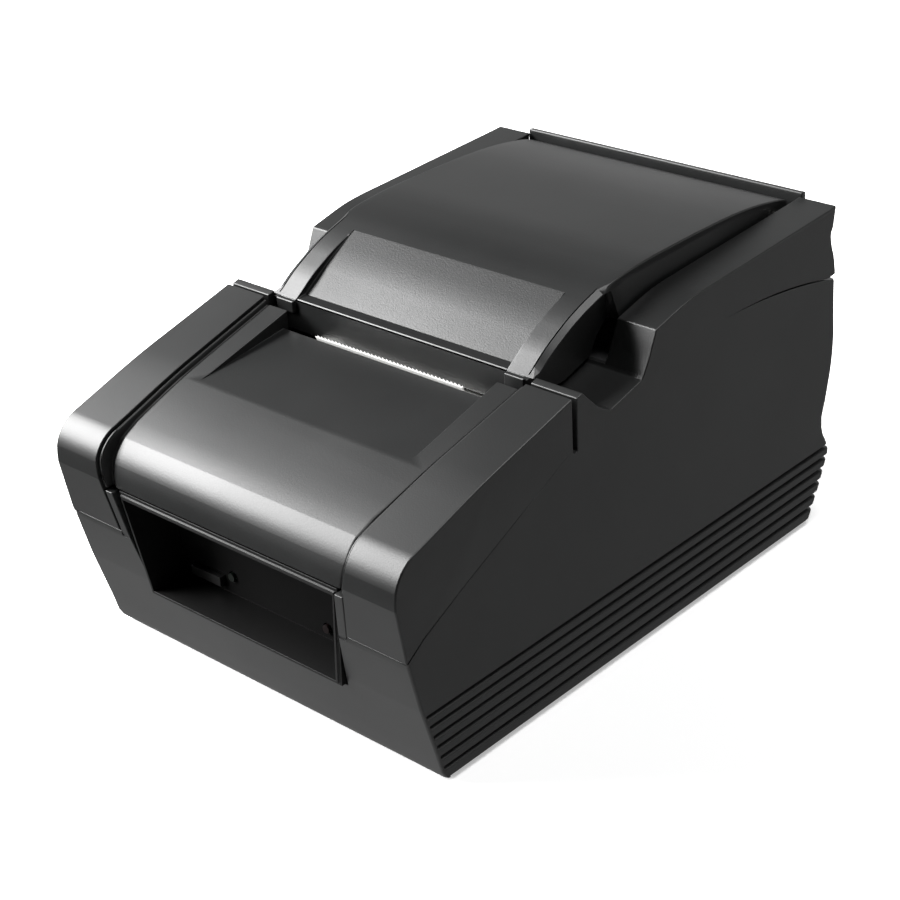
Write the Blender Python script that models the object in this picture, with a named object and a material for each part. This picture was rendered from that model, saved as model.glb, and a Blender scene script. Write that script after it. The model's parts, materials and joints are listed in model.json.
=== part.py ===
"""Desktop receipt printer for 58 mm paper, as separate solids.

Lengths are in millimetres and become metres when a mesh is made. The drawing frame has X to the
printer's right, Y towards its rear from the lower front edge, and Z up from the housing's underside.
FRAME_SHIFT moves it so that the origin is under the middle of the box, on the surface it stands on.
"""

import math

import bmesh
import bpy
from mathutils import Matrix, Vector

MM = 0.001

# Driving dimensions
HALF_WIDTH = 67.0            # half the housing's width
WALL = 2.3                   # moulded wall
GAP = 0.35                   # clearance between neighbouring pieces
FOOT_DROP = 1.5              # feet below the housing's underside
FRAME_SHIFT = Vector((0.0, -85.2, FOOT_DROP))
SEGMENTS = 28                # sides of a round piece

NOSE = (-3.6, 61.4)          # centre of the front cover's rounded nose, as (y, z)
NOSE_RADIUS = 11.9
NOSE_FROM, NOSE_TO = 107.7, 188.9
COVER_REAR = 55.2            # rear edge of the front cover
COVER_REAR_TOP = 90.6
COVER_BEND = (17.5, 80.7)
COVER_LIP = (-12.74, 42.8)   # lower edge of the front cover's bands
SKIRT_LINE = ((-12.74, 42.8), (-6.0, 47.4), (10.0, 55.4), (COVER_REAR, 75.84))
PANEL_DROP = 2.0             # centre panel below the bands
FLANGE_DEPTH, FLANGE_WIDTH = 8.5, 2.0  # ribs under the bands beside the centre panel
PANEL_HALF_REAR, PANEL_HALF_NOSE, PANEL_HALF_LIP = 51.0, 49.2, 45.6
RAMP_HALF = 41.0             # half width of the paper ramp
RAMP_FRONT, RAMP_REAR = (19.5, 79.2), (52.8, 83.5)

BAY_LOW, BAY_HIGH = 24.2, 54.1        # heights of the front opening
BAY_HALF_LOW, BAY_HALF_HIGH = 37.0, 41.8
BAY_BACK = 5.0
BAY_FACE_LOW, BAY_FACE_HIGH = -10.1, -13.1

NOTCH = ((57.0, 90.1), (59.4, 90.8), (63.2, 86.9), (67.1, 83.3), (70.6, 81.4), (71.8, 81.0), (85.5, 84.5))
NOTCH_HALF = 44.0            # the notch floor reaches in to here
PARTING_CENTRE = (125.0, -144.4)      # arc between base and upper housing
PARTING_RADIUS = 233.0
REAR_FACE = ((185.2, 70.0), (185.8, 62.0), (185.3, 52.3), (182.7, 40.3), (181.0, 34.8), (181.2, 30.0),
             (183.6, 25.0), (184.3, 20.5), (174.5, 0.0))
RIB_PITCH, RIB_COUNT, RIB_DEPTH, RIB_WIDTH = 4.0, 6, 1.4, 1.5

RAIL_INNER = 53.4            # inner faces of the side rails
HINGE = (177.0, 99.8)        # lid hinge axis
LID_HALF = 50.5
LID_LIP = 58.8               # front face of the lid's lip
LID_TOP = ((61.0, 92.0), (66.0, 95.6), (71.3, 98.6), (84.0, 104.0), (93.0, 106.4), (105.0, 107.8),
           (118.0, 108.3), (146.0, 108.3), (162.0, 107.4), (175.5, 105.4), (180.4, 103.9))

PLATEN = (64.0, 73.0)        # platen roller axis
PLATEN_RADIUS = 5.5
SHAFT_RADIUS = 2.0
PAPER_HALF = 28.75
PAPER_THICKNESS = 0.15
PLATE_INNER, PLATE_OUTER = 31.0, 32.2  # mechanism side plates
GEAR_LOW, GEAR_HIGH = 33.3, 36.8
MODULE = 0.7
PLATEN_TEETH, IDLER_TEETH, PINION_TEETH = 20, 22, 12
MOTOR_RADIUS = 10.5
PIVOT_RADIUS = math.hypot(PLATEN[0] - HINGE[0], PLATEN[1] - HINGE[1])
LIFT = ((PLATEN[1] - HINGE[1]) / PIVOT_RADIUS, (HINGE[0] - PLATEN[0]) / PIVOT_RADIUS)  # platen's way out
FRONTWARD = (-LIFT[1], LIFT[0])                      # from the platen to the print head

ROLL = (121.0, 57.7)
ROLL_RADIUS = 27.0
CORE_RADIUS, CORE_BORE = 6.1, 4.9
BIN_CENTRE, BIN_RADIUS = (121.0, 62.0), 32.0
BOARD_LOW, BOARD_THICKNESS = 7.95, 1.6
ROCKER = (33.0, 173.7)       # power switch's hinge axis, as (x, y)


# Meshes

def clear_scene():
    for item in list(bpy.data.objects):
        bpy.data.objects.remove(item, do_unlink=True)


def material(name, colour, roughness, metallic=0.0):
    found = bpy.data.materials.get(name)
    if found:
        return found
    made = bpy.data.materials.new(name)
    made.use_nodes = True
    shader = made.node_tree.nodes["Principled BSDF"]
    shader.inputs["Base Color"].default_value = (*colour, 1.0)
    shader.inputs["Roughness"].default_value = roughness
    shader.inputs["Metallic"].default_value = metallic
    return made


def to_object(name, mesh_data):
    mesh = bpy.data.meshes.new(name)
    bmesh.ops.recalc_face_normals(mesh_data, faces=mesh_data.faces)
    mesh_data.to_mesh(mesh)
    mesh_data.free()
    made = bpy.data.objects.new(name, mesh)
    bpy.context.scene.collection.objects.link(made)
    return made


def on_axis(axis, pair, along):
    """A point from its two outline coordinates and its place along the extrusion axis."""
    if axis == "x":
        return Vector((along, pair[0], pair[1]))
    if axis == "y":
        return Vector((pair[0], along, pair[1]))
    return Vector((pair[0], pair[1], along))


def prism(name, outline, axis, low, high):
    """A closed outline extruded along an axis."""
    shape = bmesh.new()
    ends = [[shape.verts.new(on_axis(axis, p, at)) for p in outline] for at in (low, high)]
    shape.faces.new(ends[0])
    shape.faces.new(ends[1][::-1])
    for i in range(len(outline)):
        j = (i + 1) % len(outline)
        shape.faces.new((ends[0][i], ends[1][i], ends[1][j], ends[0][j]))
    return to_object(name, shape)


def pierced_prism(name, outline, hole, axis, low, high):
    """A closed outline with a hole of as many points, extruded along an axis."""
    shape = bmesh.new()
    loops = [[shape.verts.new(on_axis(axis, p, at)) for p in line] for line in (outline, hole) for at in (low, high)]
    outer_low, outer_high, inner_low, inner_high = loops
    for i in range(len(outline)):
        j = (i + 1) % len(outline)
        shape.faces.new((outer_low[i], outer_high[i], outer_high[j], outer_low[j]))
        shape.faces.new((inner_low[i], inner_low[j], inner_high[j], inner_high[i]))
        shape.faces.new((outer_low[i], outer_low[j], inner_low[j], inner_low[i]))
        shape.faces.new((outer_high[i], inner_high[i], inner_high[j], outer_high[j]))
    return to_object(name, shape)


def box(name, x_range, y_range, z_range):
    corners = [(x_range[0], y_range[0]), (x_range[1], y_range[0]), (x_range[1], y_range[1]), (x_range[0], y_range[1])]
    return prism(name, corners, "z", *z_range)


def circle(centre, radius, count=SEGMENTS, start=0.0):
    """Points of a circle, from an angle in degrees."""
    angles = [math.radians(start) + 2 * math.pi * i / count for i in range(count)]
    return [(centre[0] + radius * math.cos(a), centre[1] + radius * math.sin(a)) for a in angles]


def arc(centre, radius, from_degrees, to_degrees, steps):
    angles = [math.radians(from_degrees + (to_degrees - from_degrees) * i / steps) for i in range(steps + 1)]
    return [(centre[0] + radius * math.cos(a), centre[1] + radius * math.sin(a)) for a in angles]


def disc(name, axis, centre, radius, low, high, count=SEGMENTS):
    return prism(name, circle(centre, radius, count), axis, low, high)


def ring(name, axis, centre, outer, inner, low, high, count=SEGMENTS):
    return pierced_prism(name, circle(centre, outer, count), circle(centre, inner, count), axis, low, high)


def boolean(target, operation, tools):
    """Applies an exact boolean with each tool and removes the tools."""
    for tool in tools:
        step = target.modifiers.new("shape", "BOOLEAN")
        step.operation = operation
        step.solver = "EXACT"
        step.object = tool
        bpy.context.view_layer.update()
        evaluated = target.evaluated_get(bpy.context.evaluated_depsgraph_get())
        mesh = bpy.data.meshes.new_from_object(evaluated)
        target.modifiers.clear()
        target.data = mesh
        bpy.data.objects.remove(tool, do_unlink=True)
    return target


def fuse(target, *tools):
    return boolean(target, "UNION", tools)


def cut(target, *tools):
    return boolean(target, "DIFFERENCE", tools)


def finish(item, name, look, pivot=(0.0, 0.0, 0.0), smooth=None):
    """Names the piece, gives it its material, and puts its origin at the pivot, in metres."""
    item.name = name
    item.data.name = name
    item.data.materials.clear()
    item.data.materials.append(look)
    item.data.transform(Matrix.Scale(MM, 4) @ Matrix.Translation(-Vector(pivot)))
    item.location = (Vector(pivot) + FRAME_SHIFT) * MM
    if smooth:
        item.data.shade_smooth()
        item.data.set_sharp_from_angle(angle=math.radians(smooth))
    return item


# Curves that several pieces share

def cover_line(inset, rear=COVER_REAR, lip=COVER_LIP[1]):
    """The front cover's outline from its rear edge over the nose down to its lip, moved in by inset."""
    slope = math.atan2(COVER_REAR_TOP - COVER_BEND[1], COVER_REAR - COVER_BEND[0])
    top = COVER_REAR_TOP + (rear - COVER_REAR) * math.tan(slope) - inset / math.cos(slope)
    bend = (COVER_BEND[0] + 0.28 * inset, COVER_BEND[1] - 0.96 * inset)
    nose = arc(NOSE, NOSE_RADIUS - inset, NOSE_FROM, NOSE_TO, 9)
    lean = math.radians(NOSE_TO - 180.0)
    foot = nose[-1]
    lip_y = foot[0] + (foot[1] - lip) * math.tan(lean)
    return [(rear, top), bend, *nose, (lip_y, lip)]


def panel_half(point):
    """Half width of the centre panel's opening at a point of the cover's outline."""
    y, z = point
    if z < NOSE[1] + 4.0:
        share = (z - COVER_LIP[1]) / (NOSE[1] + 4.0 - COVER_LIP[1])
        return PANEL_HALF_LIP + (PANEL_HALF_NOSE - PANEL_HALF_LIP) * max(share, 0.0)
    share = (y - NOSE[0]) / (COVER_REAR - NOSE[0])
    return PANEL_HALF_NOSE + (PANEL_HALF_REAR - PANEL_HALF_NOSE) * max(share, 0.0)


def curved_slab(name, left, right, outer_inset, inner_inset, rear=COVER_REAR, lip=COVER_LIP[1]):
    """A slab that follows the front cover's outline, between two insets and two side lines."""
    outer = cover_line(outer_inset, rear, lip)
    inner = cover_line(inner_inset, rear, lip)
    shape = bmesh.new()
    rows = []
    for low, high in zip(outer, inner):
        x_left, x_right = left(low), right(low)
        corners = [(x_left, low), (x_right, low), (x_right, high), (x_left, high)]
        rows.append([shape.verts.new((x, p[0], p[1])) for x, p in corners])
    shape.faces.new(rows[0])
    shape.faces.new(rows[-1][::-1])
    for first, second in zip(rows, rows[1:]):
        for i in range(4):
            j = (i + 1) % 4
            shape.faces.new((first[i], second[i], second[j], first[j]))
    bmesh.ops.triangulate(shape, faces=shape.faces)
    return to_object(name, shape)


def parting_line(offset, from_y, to_y, steps=10):
    """The arc between base and upper housing, raised by offset, from one y to another."""
    points = []
    for i in range(steps + 1):
        y = from_y + (to_y - from_y) * i / steps
        z = PARTING_CENTRE[1] + math.sqrt(PARTING_RADIUS ** 2 - (y - PARTING_CENTRE[0]) ** 2)
        points.append((y, z + offset))
    return points


def head_point(up, out):
    """A point by the platen's nip: up along the lift direction, and out towards the front."""
    reach = PLATEN_RADIUS + 0.85 + out
    y = PLATEN[0] + FRONTWARD[0] * reach + LIFT[0] * up
    z = PLATEN[1] + FRONTWARD[1] * reach + LIFT[1] * up
    return (y, z)


# Housing

def base(look):
    side = [(0.0, 0.0), (-1.6, 1.2), (-3.6, 9.0), (-8.6, 26.0), (-12.5, 42.4), (-10.05, 42.4), (-10.05, 44.2)]
    side += [(y, z - 0.4) for y, z in SKIRT_LINE[1:]]
    side += [(COVER_REAR, 74.3), (57.0, 74.3), *NOTCH]
    side += parting_line(-GAP / 2, 86.2, 184.5)
    side += REAR_FACE
    body = prism("base", side, "x", -HALF_WIDTH, HALF_WIDTH)
    hollow = [(2.6, 2.4), (-1.2, 9.6), (-6.2, 26.6), (-10.05, 42.4), (-10.05, 120.0), (182.4, 120.0), (182.4, 32.0),
              (171.8, 31.0), (171.8, 2.4)]
    cut(body, prism("hollow", hollow, "x", -HALF_WIDTH + WALL, HALF_WIDTH - WALL))
    block = [*NOTCH[:6], (72.6, 81.2), (72.6, 79.1), (71.5, 78.8), (69.6, 79.2), (65.6, 81.6), (61.7, 85.2),
             (59.2, 87.5), (59.2, 76.0), (57.0, 76.0)]
    floor = [NOTCH[5], NOTCH[6], (85.7, 82.3), (71.6, 78.8)]
    for side_sign in (-1, 1):
        low, high = sorted((side_sign * (LID_HALF + 0.6), side_sign * (HALF_WIDTH - 0.6)))
        fuse(body, prism("notch_front", block, "x", low, high))
        low, high = sorted((side_sign * NOTCH_HALF, side_sign * (HALF_WIDTH - 0.7)))
        fuse(body, prism("notch_floor", floor, "x", low, high))
    add_front_pillars(body)
    cut(body, bay_cutter())
    cut(body, box("port_recess", (-46.0, 46.0), (174.2, 190.0), (5.0, 28.0)))
    add_floor_details(body)
    cut_ribs(body)
    cut_ports(body)
    return finish(body, "base", look)


def add_front_pillars(body):
    """Two posts beside the front opening that fill the cover's slots down to the base."""
    for side_sign in (-1, 1):
        inner = side_sign * 40.0
        outline = [(inner, 36.0), (side_sign * 43.7, 36.0), (side_sign * 45.15, 42.8), (side_sign * 45.15, 56.4),
                   (inner, 56.4)]
        post = prism("post", outline, "y", -16.0, -9.5)
        front = [(-20.0, 60.0), (-20.0, 30.0), (-9.6, 30.0), (-12.6, 42.6), (-14.75, 56.6), (-14.75, 60.0)]
        cut(post, prism("post_front", front, "x", -50.0, 50.0))
        fuse(body, post)


def bay_outline(margin):
    return [(-BAY_HALF_LOW - margin, BAY_LOW - margin), (BAY_HALF_LOW + margin, BAY_LOW - margin),
            (BAY_HALF_HIGH + margin, BAY_HIGH + margin), (-BAY_HALF_HIGH - margin, BAY_HIGH + margin)]


def bay_cutter():
    low_left, low_right, high_right, high_left = bay_outline(1.6 + GAP)
    rise = (high_right[0] - low_right[0]) / (high_right[1] - low_right[1])
    top = 62.0
    top_half = high_right[0] + rise * (top - high_right[1])
    return prism("bay_cut", [low_left, low_right, (top_half, top), (-top_half, top)], "y", -20.0, 4.0)


def add_floor_details(body):
    """Posts for the mechanism, the board and the case screws, and pockets for the feet."""
    for x in (-26.0, 26.0):
        for y in (50.0, 79.0):
            fuse(body, disc("mechanism_post", "z", (x, y), 3.6, 1.5, 31.6, 16))
    for x, y in board_screw_places():
        fuse(body, disc("board_post", "z", (x, y), 3.2, 1.5, BOARD_LOW - GAP, 16))
    for x, y in case_screw_places():
        fuse(body, disc("screw_post", "z", (x, y), 4.6, 1.5, 14.0, 16))
        cut(body, disc("screw_well", "z", (x, y), 3.2, -1.0, 6.0, 16))
        cut(body, disc("screw_hole", "z", (x, y), 1.8, -1.0, 20.0, 12))
    for x, y in foot_places():
        cut(body, prism("foot_pocket", rounded_box((x, y), 5.35, 9.35, 4.4), "z", -1.0, 0.9))


def cut_ribs(body):
    for i in range(RIB_COUNT):
        z = 4.8 + RIB_PITCH * i
        half = RIB_WIDTH / 2
        for side_sign in (-1, 1):
            outside = side_sign * (HALF_WIDTH + 1.0)
            bottom = side_sign * (HALF_WIDTH - RIB_DEPTH)
            outline = [(outside, z - half - 0.5), (outside, z + half + 0.5), (bottom, z + 0.15), (bottom, z - 0.15)]
            cut(body, prism("rib_groove", outline, "y", -20.0, 200.0))


def cut_ports(body):
    for x, z, half_wide, half_high in port_windows():
        cut(body, box("port_hole", (x - half_wide, x + half_wide), (168.0, 180.0), (z - half_high, z + half_high)))


def port_windows():
    """Openings in the rear wall: x, z, half width and half height."""
    return ((-34.0, 15.2, 5.0, 5.9), (-13.0, 15.4, 6.4, 6.1), (9.0, 16.2, 7.0, 6.9), (33.0, 15.8, 10.0, 6.8))


def rounded_box(centre, half_wide, half_long, radius, steps=4):
    """A rectangle with round corners, in plan."""
    points = []
    for sx, sy, start in ((1, 1, 0), (-1, 1, 90), (-1, -1, 180), (1, -1, 270)):
        corner = (centre[0] + sx * (half_wide - radius), centre[1] + sy * (half_long - radius))
        points += arc(corner, radius, start, start + 90, steps)
    return points


def foot_places():
    return [(x, y) for x in (-57.0, 57.0) for y in (16.0, 164.0)]


def case_screw_places():
    return [(x, y) for x in (-57.0, 57.0) for y in (34.0, 146.0)]


def board_screw_places():
    return [(x, y) for x in (-42.0, 42.0) for y in (103.0, 150.0)]


def upper_housing(look):
    side = [(86.6, 86.1), (89.0, 89.9), (92.0, 97.1), (93.1, 97.4), (108.1, 100.7), (142.2, 102.7), (177.7, 104.5),
            (182.9, 104.9), (181.8, 98.4), (180.8, 96.6), (182.9, 88.9), (184.1, 83.2)]
    lower = parting_line(GAP / 2, 184.3, 86.9)
    inner = [(88.6, 70.0), (88.6, 86.0), (91.0, 90.4), (93.8, 95.2), (108.4, 98.4), (142.3, 100.4), (177.7, 102.2),
             (179.6, 102.4), (179.4, 99.4), (178.4, 96.2), (180.6, 88.9), (181.8, 83.0), (181.8, 70.0)]
    rails = []
    for side_sign in (-1, 1):
        low, high = sorted((side_sign * RAIL_INNER, side_sign * HALF_WIDTH))
        rail = prism("rail", [*side, *lower[1:-1]], "x", low, high)
        low, high = sorted((side_sign * (RAIL_INNER + WALL), side_sign * (HALF_WIDTH - WALL)))
        rails.append(cut(rail, prism("rail_hollow", inner, "x", low, high)))
    body = rails[0]
    wall = [(183.2, 106.2), (185.4, 106.0), (185.6, 84.0), (183.2, 84.0)]
    bridge = prism("rear_wall", wall, "x", -RAIL_INNER - 0.8, RAIL_INNER + 0.8)
    shelf = box("rear_shelf", (-RAIL_INNER - 6.0, RAIL_INNER + 6.0), (180.9, 184.5), (84.0, 86.2))
    fuse(bridge, shelf)
    fuse(body, bridge)
    fuse(body, rails[1])
    cut(body, disc("pin_hole", "x", HINGE, 1.85, -60.0, 60.0, 20))
    return finish(body, "upper_housing", look)


def skirt_point(y):
    """A point of the bands' lower edge."""
    line = SKIRT_LINE
    for (y1, z1), (y2, z2) in zip(line, line[1:]):
        if y <= y2:
            return (y, z1 + (z2 - z1) * (y - y1) / (y2 - y1))
    return line[-1]


def side_band(side):
    """One band with its skirt and the flange beside the centre panel, swept along the cover's outline."""
    outer = cover_line(0.0)
    under = cover_line(WALL)
    deep = cover_line(FLANGE_DEPTH)
    deep[-1] = under[-1]
    count = len(outer)
    skirt = [skirt_point(COVER_REAR), skirt_point(COVER_BEND[0])]
    skirt += [skirt_point(10.0 - 19.0 * i / (count - 4)) for i in range(count - 3)]
    skirt.append(skirt_point(under[-1][0]))
    shape = bmesh.new()
    rows = []
    for top, low, edge, foot in zip(outer, under, deep, skirt):
        half = panel_half(top)
        flange = half + FLANGE_WIDTH
        inside = HALF_WIDTH - WALL
        corners = [(HALF_WIDTH, top), (half, top), (half, edge), (flange, edge), (flange, low),
                   (inside, low), (inside, foot), (HALF_WIDTH, foot)]
        rows.append([shape.verts.new((side * x, y, z)) for x, (y, z) in corners])
    shape.faces.new(rows[0])
    shape.faces.new(rows[-1][::-1])
    for first, second in zip(rows, rows[1:]):
        for i in range(8):
            j = (i + 1) % 8
            shape.faces.new((first[i], second[i], second[j], first[j]))
    bmesh.ops.remove_doubles(shape, verts=shape.verts, dist=1e-5)
    bmesh.ops.triangulate(shape, faces=shape.faces)
    return to_object("side_band", shape)


def front_cover(look):
    body = side_band(1)
    fuse(body, box("tie", (-PANEL_HALF_REAR - 0.4, PANEL_HALF_REAR + 0.4), (24.0, 31.0), (72.8, 76.2)))
    fuse(body, side_band(-1))
    return finish(body, "front_cover", look)


def centre_panel(look):
    body = curved_slab("centre_panel", lambda p: GAP - panel_half(p), lambda p: panel_half(p) - GAP,
                       PANEL_DROP, PANEL_DROP + WALL, COVER_REAR - 0.3, 56.9)
    ramp = [(16.0, 78.0), RAMP_FRONT, (54.9, 86.9), (54.9, 81.4), (52.8, 81.2), (18.0, 76.6)]
    fuse(body, prism("ramp_block", ramp, "x", -RAMP_HALF - 2.2, RAMP_HALF + 2.2))
    rise = (RAMP_REAR[1] - RAMP_FRONT[1]) / (RAMP_REAR[0] - RAMP_FRONT[0])
    scoop = [RAMP_FRONT, (70.0, RAMP_FRONT[1] + rise * (70.0 - RAMP_FRONT[0])), (70.0, 110.0), (19.5, 110.0)]
    cut(body, prism("scoop", scoop, "x", -RAMP_HALF, RAMP_HALF))
    cut(body, box("slot", (-RAMP_HALF, RAMP_HALF), (RAMP_REAR[0], 70.0), (60.0, 110.0)))
    return finish(body, "centre_panel", look)


def bay_liner(look):
    """Pocket behind the front opening, with a rim that follows the front's lean."""
    outer = bay_outline(1.6)
    outer = outer[:2] + [(x, z + 0.8) for x, z in outer[2:]]
    inner = bay_outline(0.0)
    lean = (BAY_FACE_HIGH - BAY_FACE_LOW) / (BAY_HIGH - BAY_LOW)
    shape = bmesh.new()

    def face_y(z):
        return BAY_FACE_LOW + lean * (z - BAY_LOW)

    front = [[shape.verts.new((x, face_y(z), z)) for x, z in line] for line in (outer, inner)]
    back = [[shape.verts.new((x, y, z)) for x, z in line] for line, y in ((outer, BAY_BACK), (inner, BAY_BACK - 1.6))]
    for i in range(4):
        j = (i + 1) % 4
        shape.faces.new((front[0][i], front[0][j], front[1][j], front[1][i]))
        shape.faces.new((front[0][i], back[0][i], back[0][j], front[0][j]))
        shape.faces.new((front[1][i], front[1][j], back[1][j], back[1][i]))
    shape.faces.new(back[0])
    shape.faces.new(back[1])
    body = to_object("bay_liner", shape)
    cut(body, box("button_hole", (-33.6, -20.4), (0.0, 9.0), (25.6, 29.4)))
    for x, z in LED_PLACES:
        cut(body, disc("led_hole", "y", (x, z), 1.65, 0.0, 9.0, 16))
    return finish(body, "bay_liner", look)


LED_PLACES = ((-17.0, 30.0), (21.0, 27.5))


# Lid

def lid(look):
    outline = [(LID_LIP, 80.4), (LID_LIP, 88.9), *LID_TOP, (180.4, 101.9), (172.0, 97.2), (94.6, 95.4),
               (89.6, 91.4), (86.6, 86.2), (75.0, 82.9), (66.0, 83.2), (64.0, 80.4)]
    body = prism("lid", outline, "x", -LID_HALF, LID_HALF)
    inside = [(61.0, 70.0), (61.0, 87.2), (64.6, 88.6), (85.0, 101.3), (93.6, 103.9), (105.4, 105.4), (118.0, 105.9),
              (146.0, 105.9), (162.0, 105.0), (175.5, 103.0), (178.0, 102.4), (182.0, 101.4), (182.0, 70.0)]
    cut(body, prism("lid_hollow", inside, "x", -LID_HALF + 2.2, LID_HALF - 2.2))
    inset_low = [(63.3, 91.0), (84.6, 104.3), (84.6, 112.0), (56.0, 112.0), (56.0, 90.7), (LID_LIP, 90.7)]
    cut(body, prism("inset", inset_low, "x", -RAMP_HALF, RAMP_HALF))
    for side_sign in (-1, 1):
        low, high = sorted((side_sign * 38.0, side_sign * 40.4))
        ear = [(60.0, 89.4), (60.0, 76.0), *arc(PLATEN, 4.9, 180.0, 360.0, 8), (75.0, 90.0), (75.0, 96.4),
               (64.6, 89.6)]
        fuse(body, prism("ear", ear, "x", low, high))
        low, high = sorted((side_sign * 40.0, side_sign * (LID_HALF - 1.0)))
        knuckle = disc("knuckle", "x", HINGE, 3.5, low, high, 20)
        fuse(knuckle, prism("web", [(174.4, 100.6), (179.4, 100.6), (179.4, 103.4), (174.4, 104.6)], "x", low, high))
        fuse(body, knuckle)
    cut(body, disc("pin_hole", "x", HINGE, 1.85, -60.0, 60.0, 20))
    cut(body, disc("shaft_hole", "x", PLATEN, SHAFT_RADIUS + GAP, -42.0, 42.0, 20))
    return finish(body, "lid", look, (0.0, *HINGE))


def tear_bar(look):
    """A thin strip under the lid's lip, with teeth along its front edge."""
    pitch, depth = 1.2, 0.7
    half = 32.4
    count = round(2 * half / pitch)
    front = []
    for i in range(count):
        x = -half + pitch * i
        front += [(x, 56.6), (x + pitch / 2, 56.6 - depth)]
    front.append((half, 56.6))
    outline = [*front, (half, 63.6), (-half, 63.6)]
    return finish(prism("tear_bar", outline, "z", 79.5, 80.0), "tear_bar", look, (0.0, *HINGE))


def hinge_pins(look):
    for name, low, high in (("hinge_pin_left", -57.0, -41.0), ("hinge_pin_right", 41.0, 57.0)):
        finish(disc(name, "x", HINGE, 1.5, low, high, 20), name, look, smooth=40)


# Paper drive

def tooth_outline(centre, teeth, phase):
    """A gear's outline: four points a tooth, with a tooth centred on the phase angle."""
    pitch_radius = MODULE * teeth / 2
    root, tip = pitch_radius - 1.25 * MODULE, pitch_radius + 0.8 * MODULE
    points = []
    for i in range(teeth):
        middle = phase + 2 * math.pi * i / teeth
        for radius, offset in ((root, -0.29), (tip, -0.11), (tip, 0.11), (root, 0.29)):
            angle = middle + offset * 2 * math.pi / teeth
            points.append((centre[0] + radius * math.cos(angle), centre[1] + radius * math.sin(angle)))
    return points


def gear(name, centre, teeth, phase, bore, look):
    hole = circle(centre, bore, 4 * teeth, math.degrees(phase))
    body = pierced_prism(name, tooth_outline(centre, teeth, phase), hole, "x", GEAR_LOW, GEAR_HIGH)
    return finish(body, name, look, (0.0, *centre))


def gear_train():
    """Centres and phases, so that the platen gear, idler and pinion are in mesh at rest."""
    first = MODULE * (PLATEN_TEETH + IDLER_TEETH) / 2
    second = MODULE * (IDLER_TEETH + PINION_TEETH) / 2
    idler = (PLATEN[0] - LIFT[0] * first, PLATEN[1] - LIFT[1] * first)
    down = math.radians(261.0)
    motor = (idler[0] + second * math.cos(down), idler[1] + second * math.sin(down))
    towards = math.atan2(-LIFT[1], -LIFT[0])
    idler_phase = towards + math.pi + math.pi / IDLER_TEETH
    behind = (down - idler_phase) % (2 * math.pi / IDLER_TEETH)
    pinion_phase = down + math.pi + behind * IDLER_TEETH / PINION_TEETH + math.pi / PINION_TEETH
    return {"platen": (PLATEN, towards), "idler": (idler, idler_phase), "motor": (motor, pinion_phase)}


def platen(rubber, steel, plastic, train):
    pivot = (0.0, *PLATEN)
    sleeve = ring("platen_sleeve", "x", PLATEN, PLATEN_RADIUS, SHAFT_RADIUS + GAP, -29.0, 29.0)
    finish(sleeve, "platen_sleeve", rubber, pivot, 40)
    shaft = disc("platen_shaft", "x", PLATEN, SHAFT_RADIUS, -41.2, 41.2, 20)
    flat = box("shaft_flat", (GEAR_LOW - 0.4, 42.0), (PLATEN[0] - 5.0, PLATEN[0] + 5.0),
               (PLATEN[1] + 1.4, PLATEN[1] + 5.0))
    finish(cut(shaft, flat), "platen_shaft", steel, pivot, 40)
    gear("platen_gear", PLATEN, PLATEN_TEETH, train["platen"][1], SHAFT_RADIUS + GAP, plastic)
    for name, low, high in (("platen_bush_left", -32.8, -30.4), ("platen_bush_right", 30.4, 32.8)):
        finish(ring(name, "x", PLATEN, 3.4, SHAFT_RADIUS + GAP, low, high, 20), name, plastic, (0.0, *HINGE), 40)


def drive(train, plastic, steel, dark_steel):
    idler, idler_phase = train["idler"]
    gear("idler_gear", idler, IDLER_TEETH, idler_phase, 1.85, plastic)
    finish(disc("idler_axle", "x", idler, 1.5, 31.0, 38.4, 16), "idler_axle", steel, smooth=40)
    finish(ring("idler_clip", "x", idler, 3.0, 1.85, 37.2, 37.8, 16), "idler_clip", steel, smooth=40)
    motor, pinion_phase = train["motor"]
    can = disc("motor", "x", motor, MOTOR_RADIUS, 9.0, 30.6, SEGMENTS)
    cut(can, disc("shaft_bore", "x", motor, 1.4, 8.0, 32.0, 16))
    finish(can, "motor", dark_steel, smooth=40)
    pivot = (0.0, *motor)
    finish(disc("motor_shaft", "x", motor, 1.0, 10.0, 38.0, 16), "motor_shaft", steel, pivot, 40)
    gear("motor_pinion", motor, PINION_TEETH, pinion_phase, 1.35, plastic)


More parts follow.
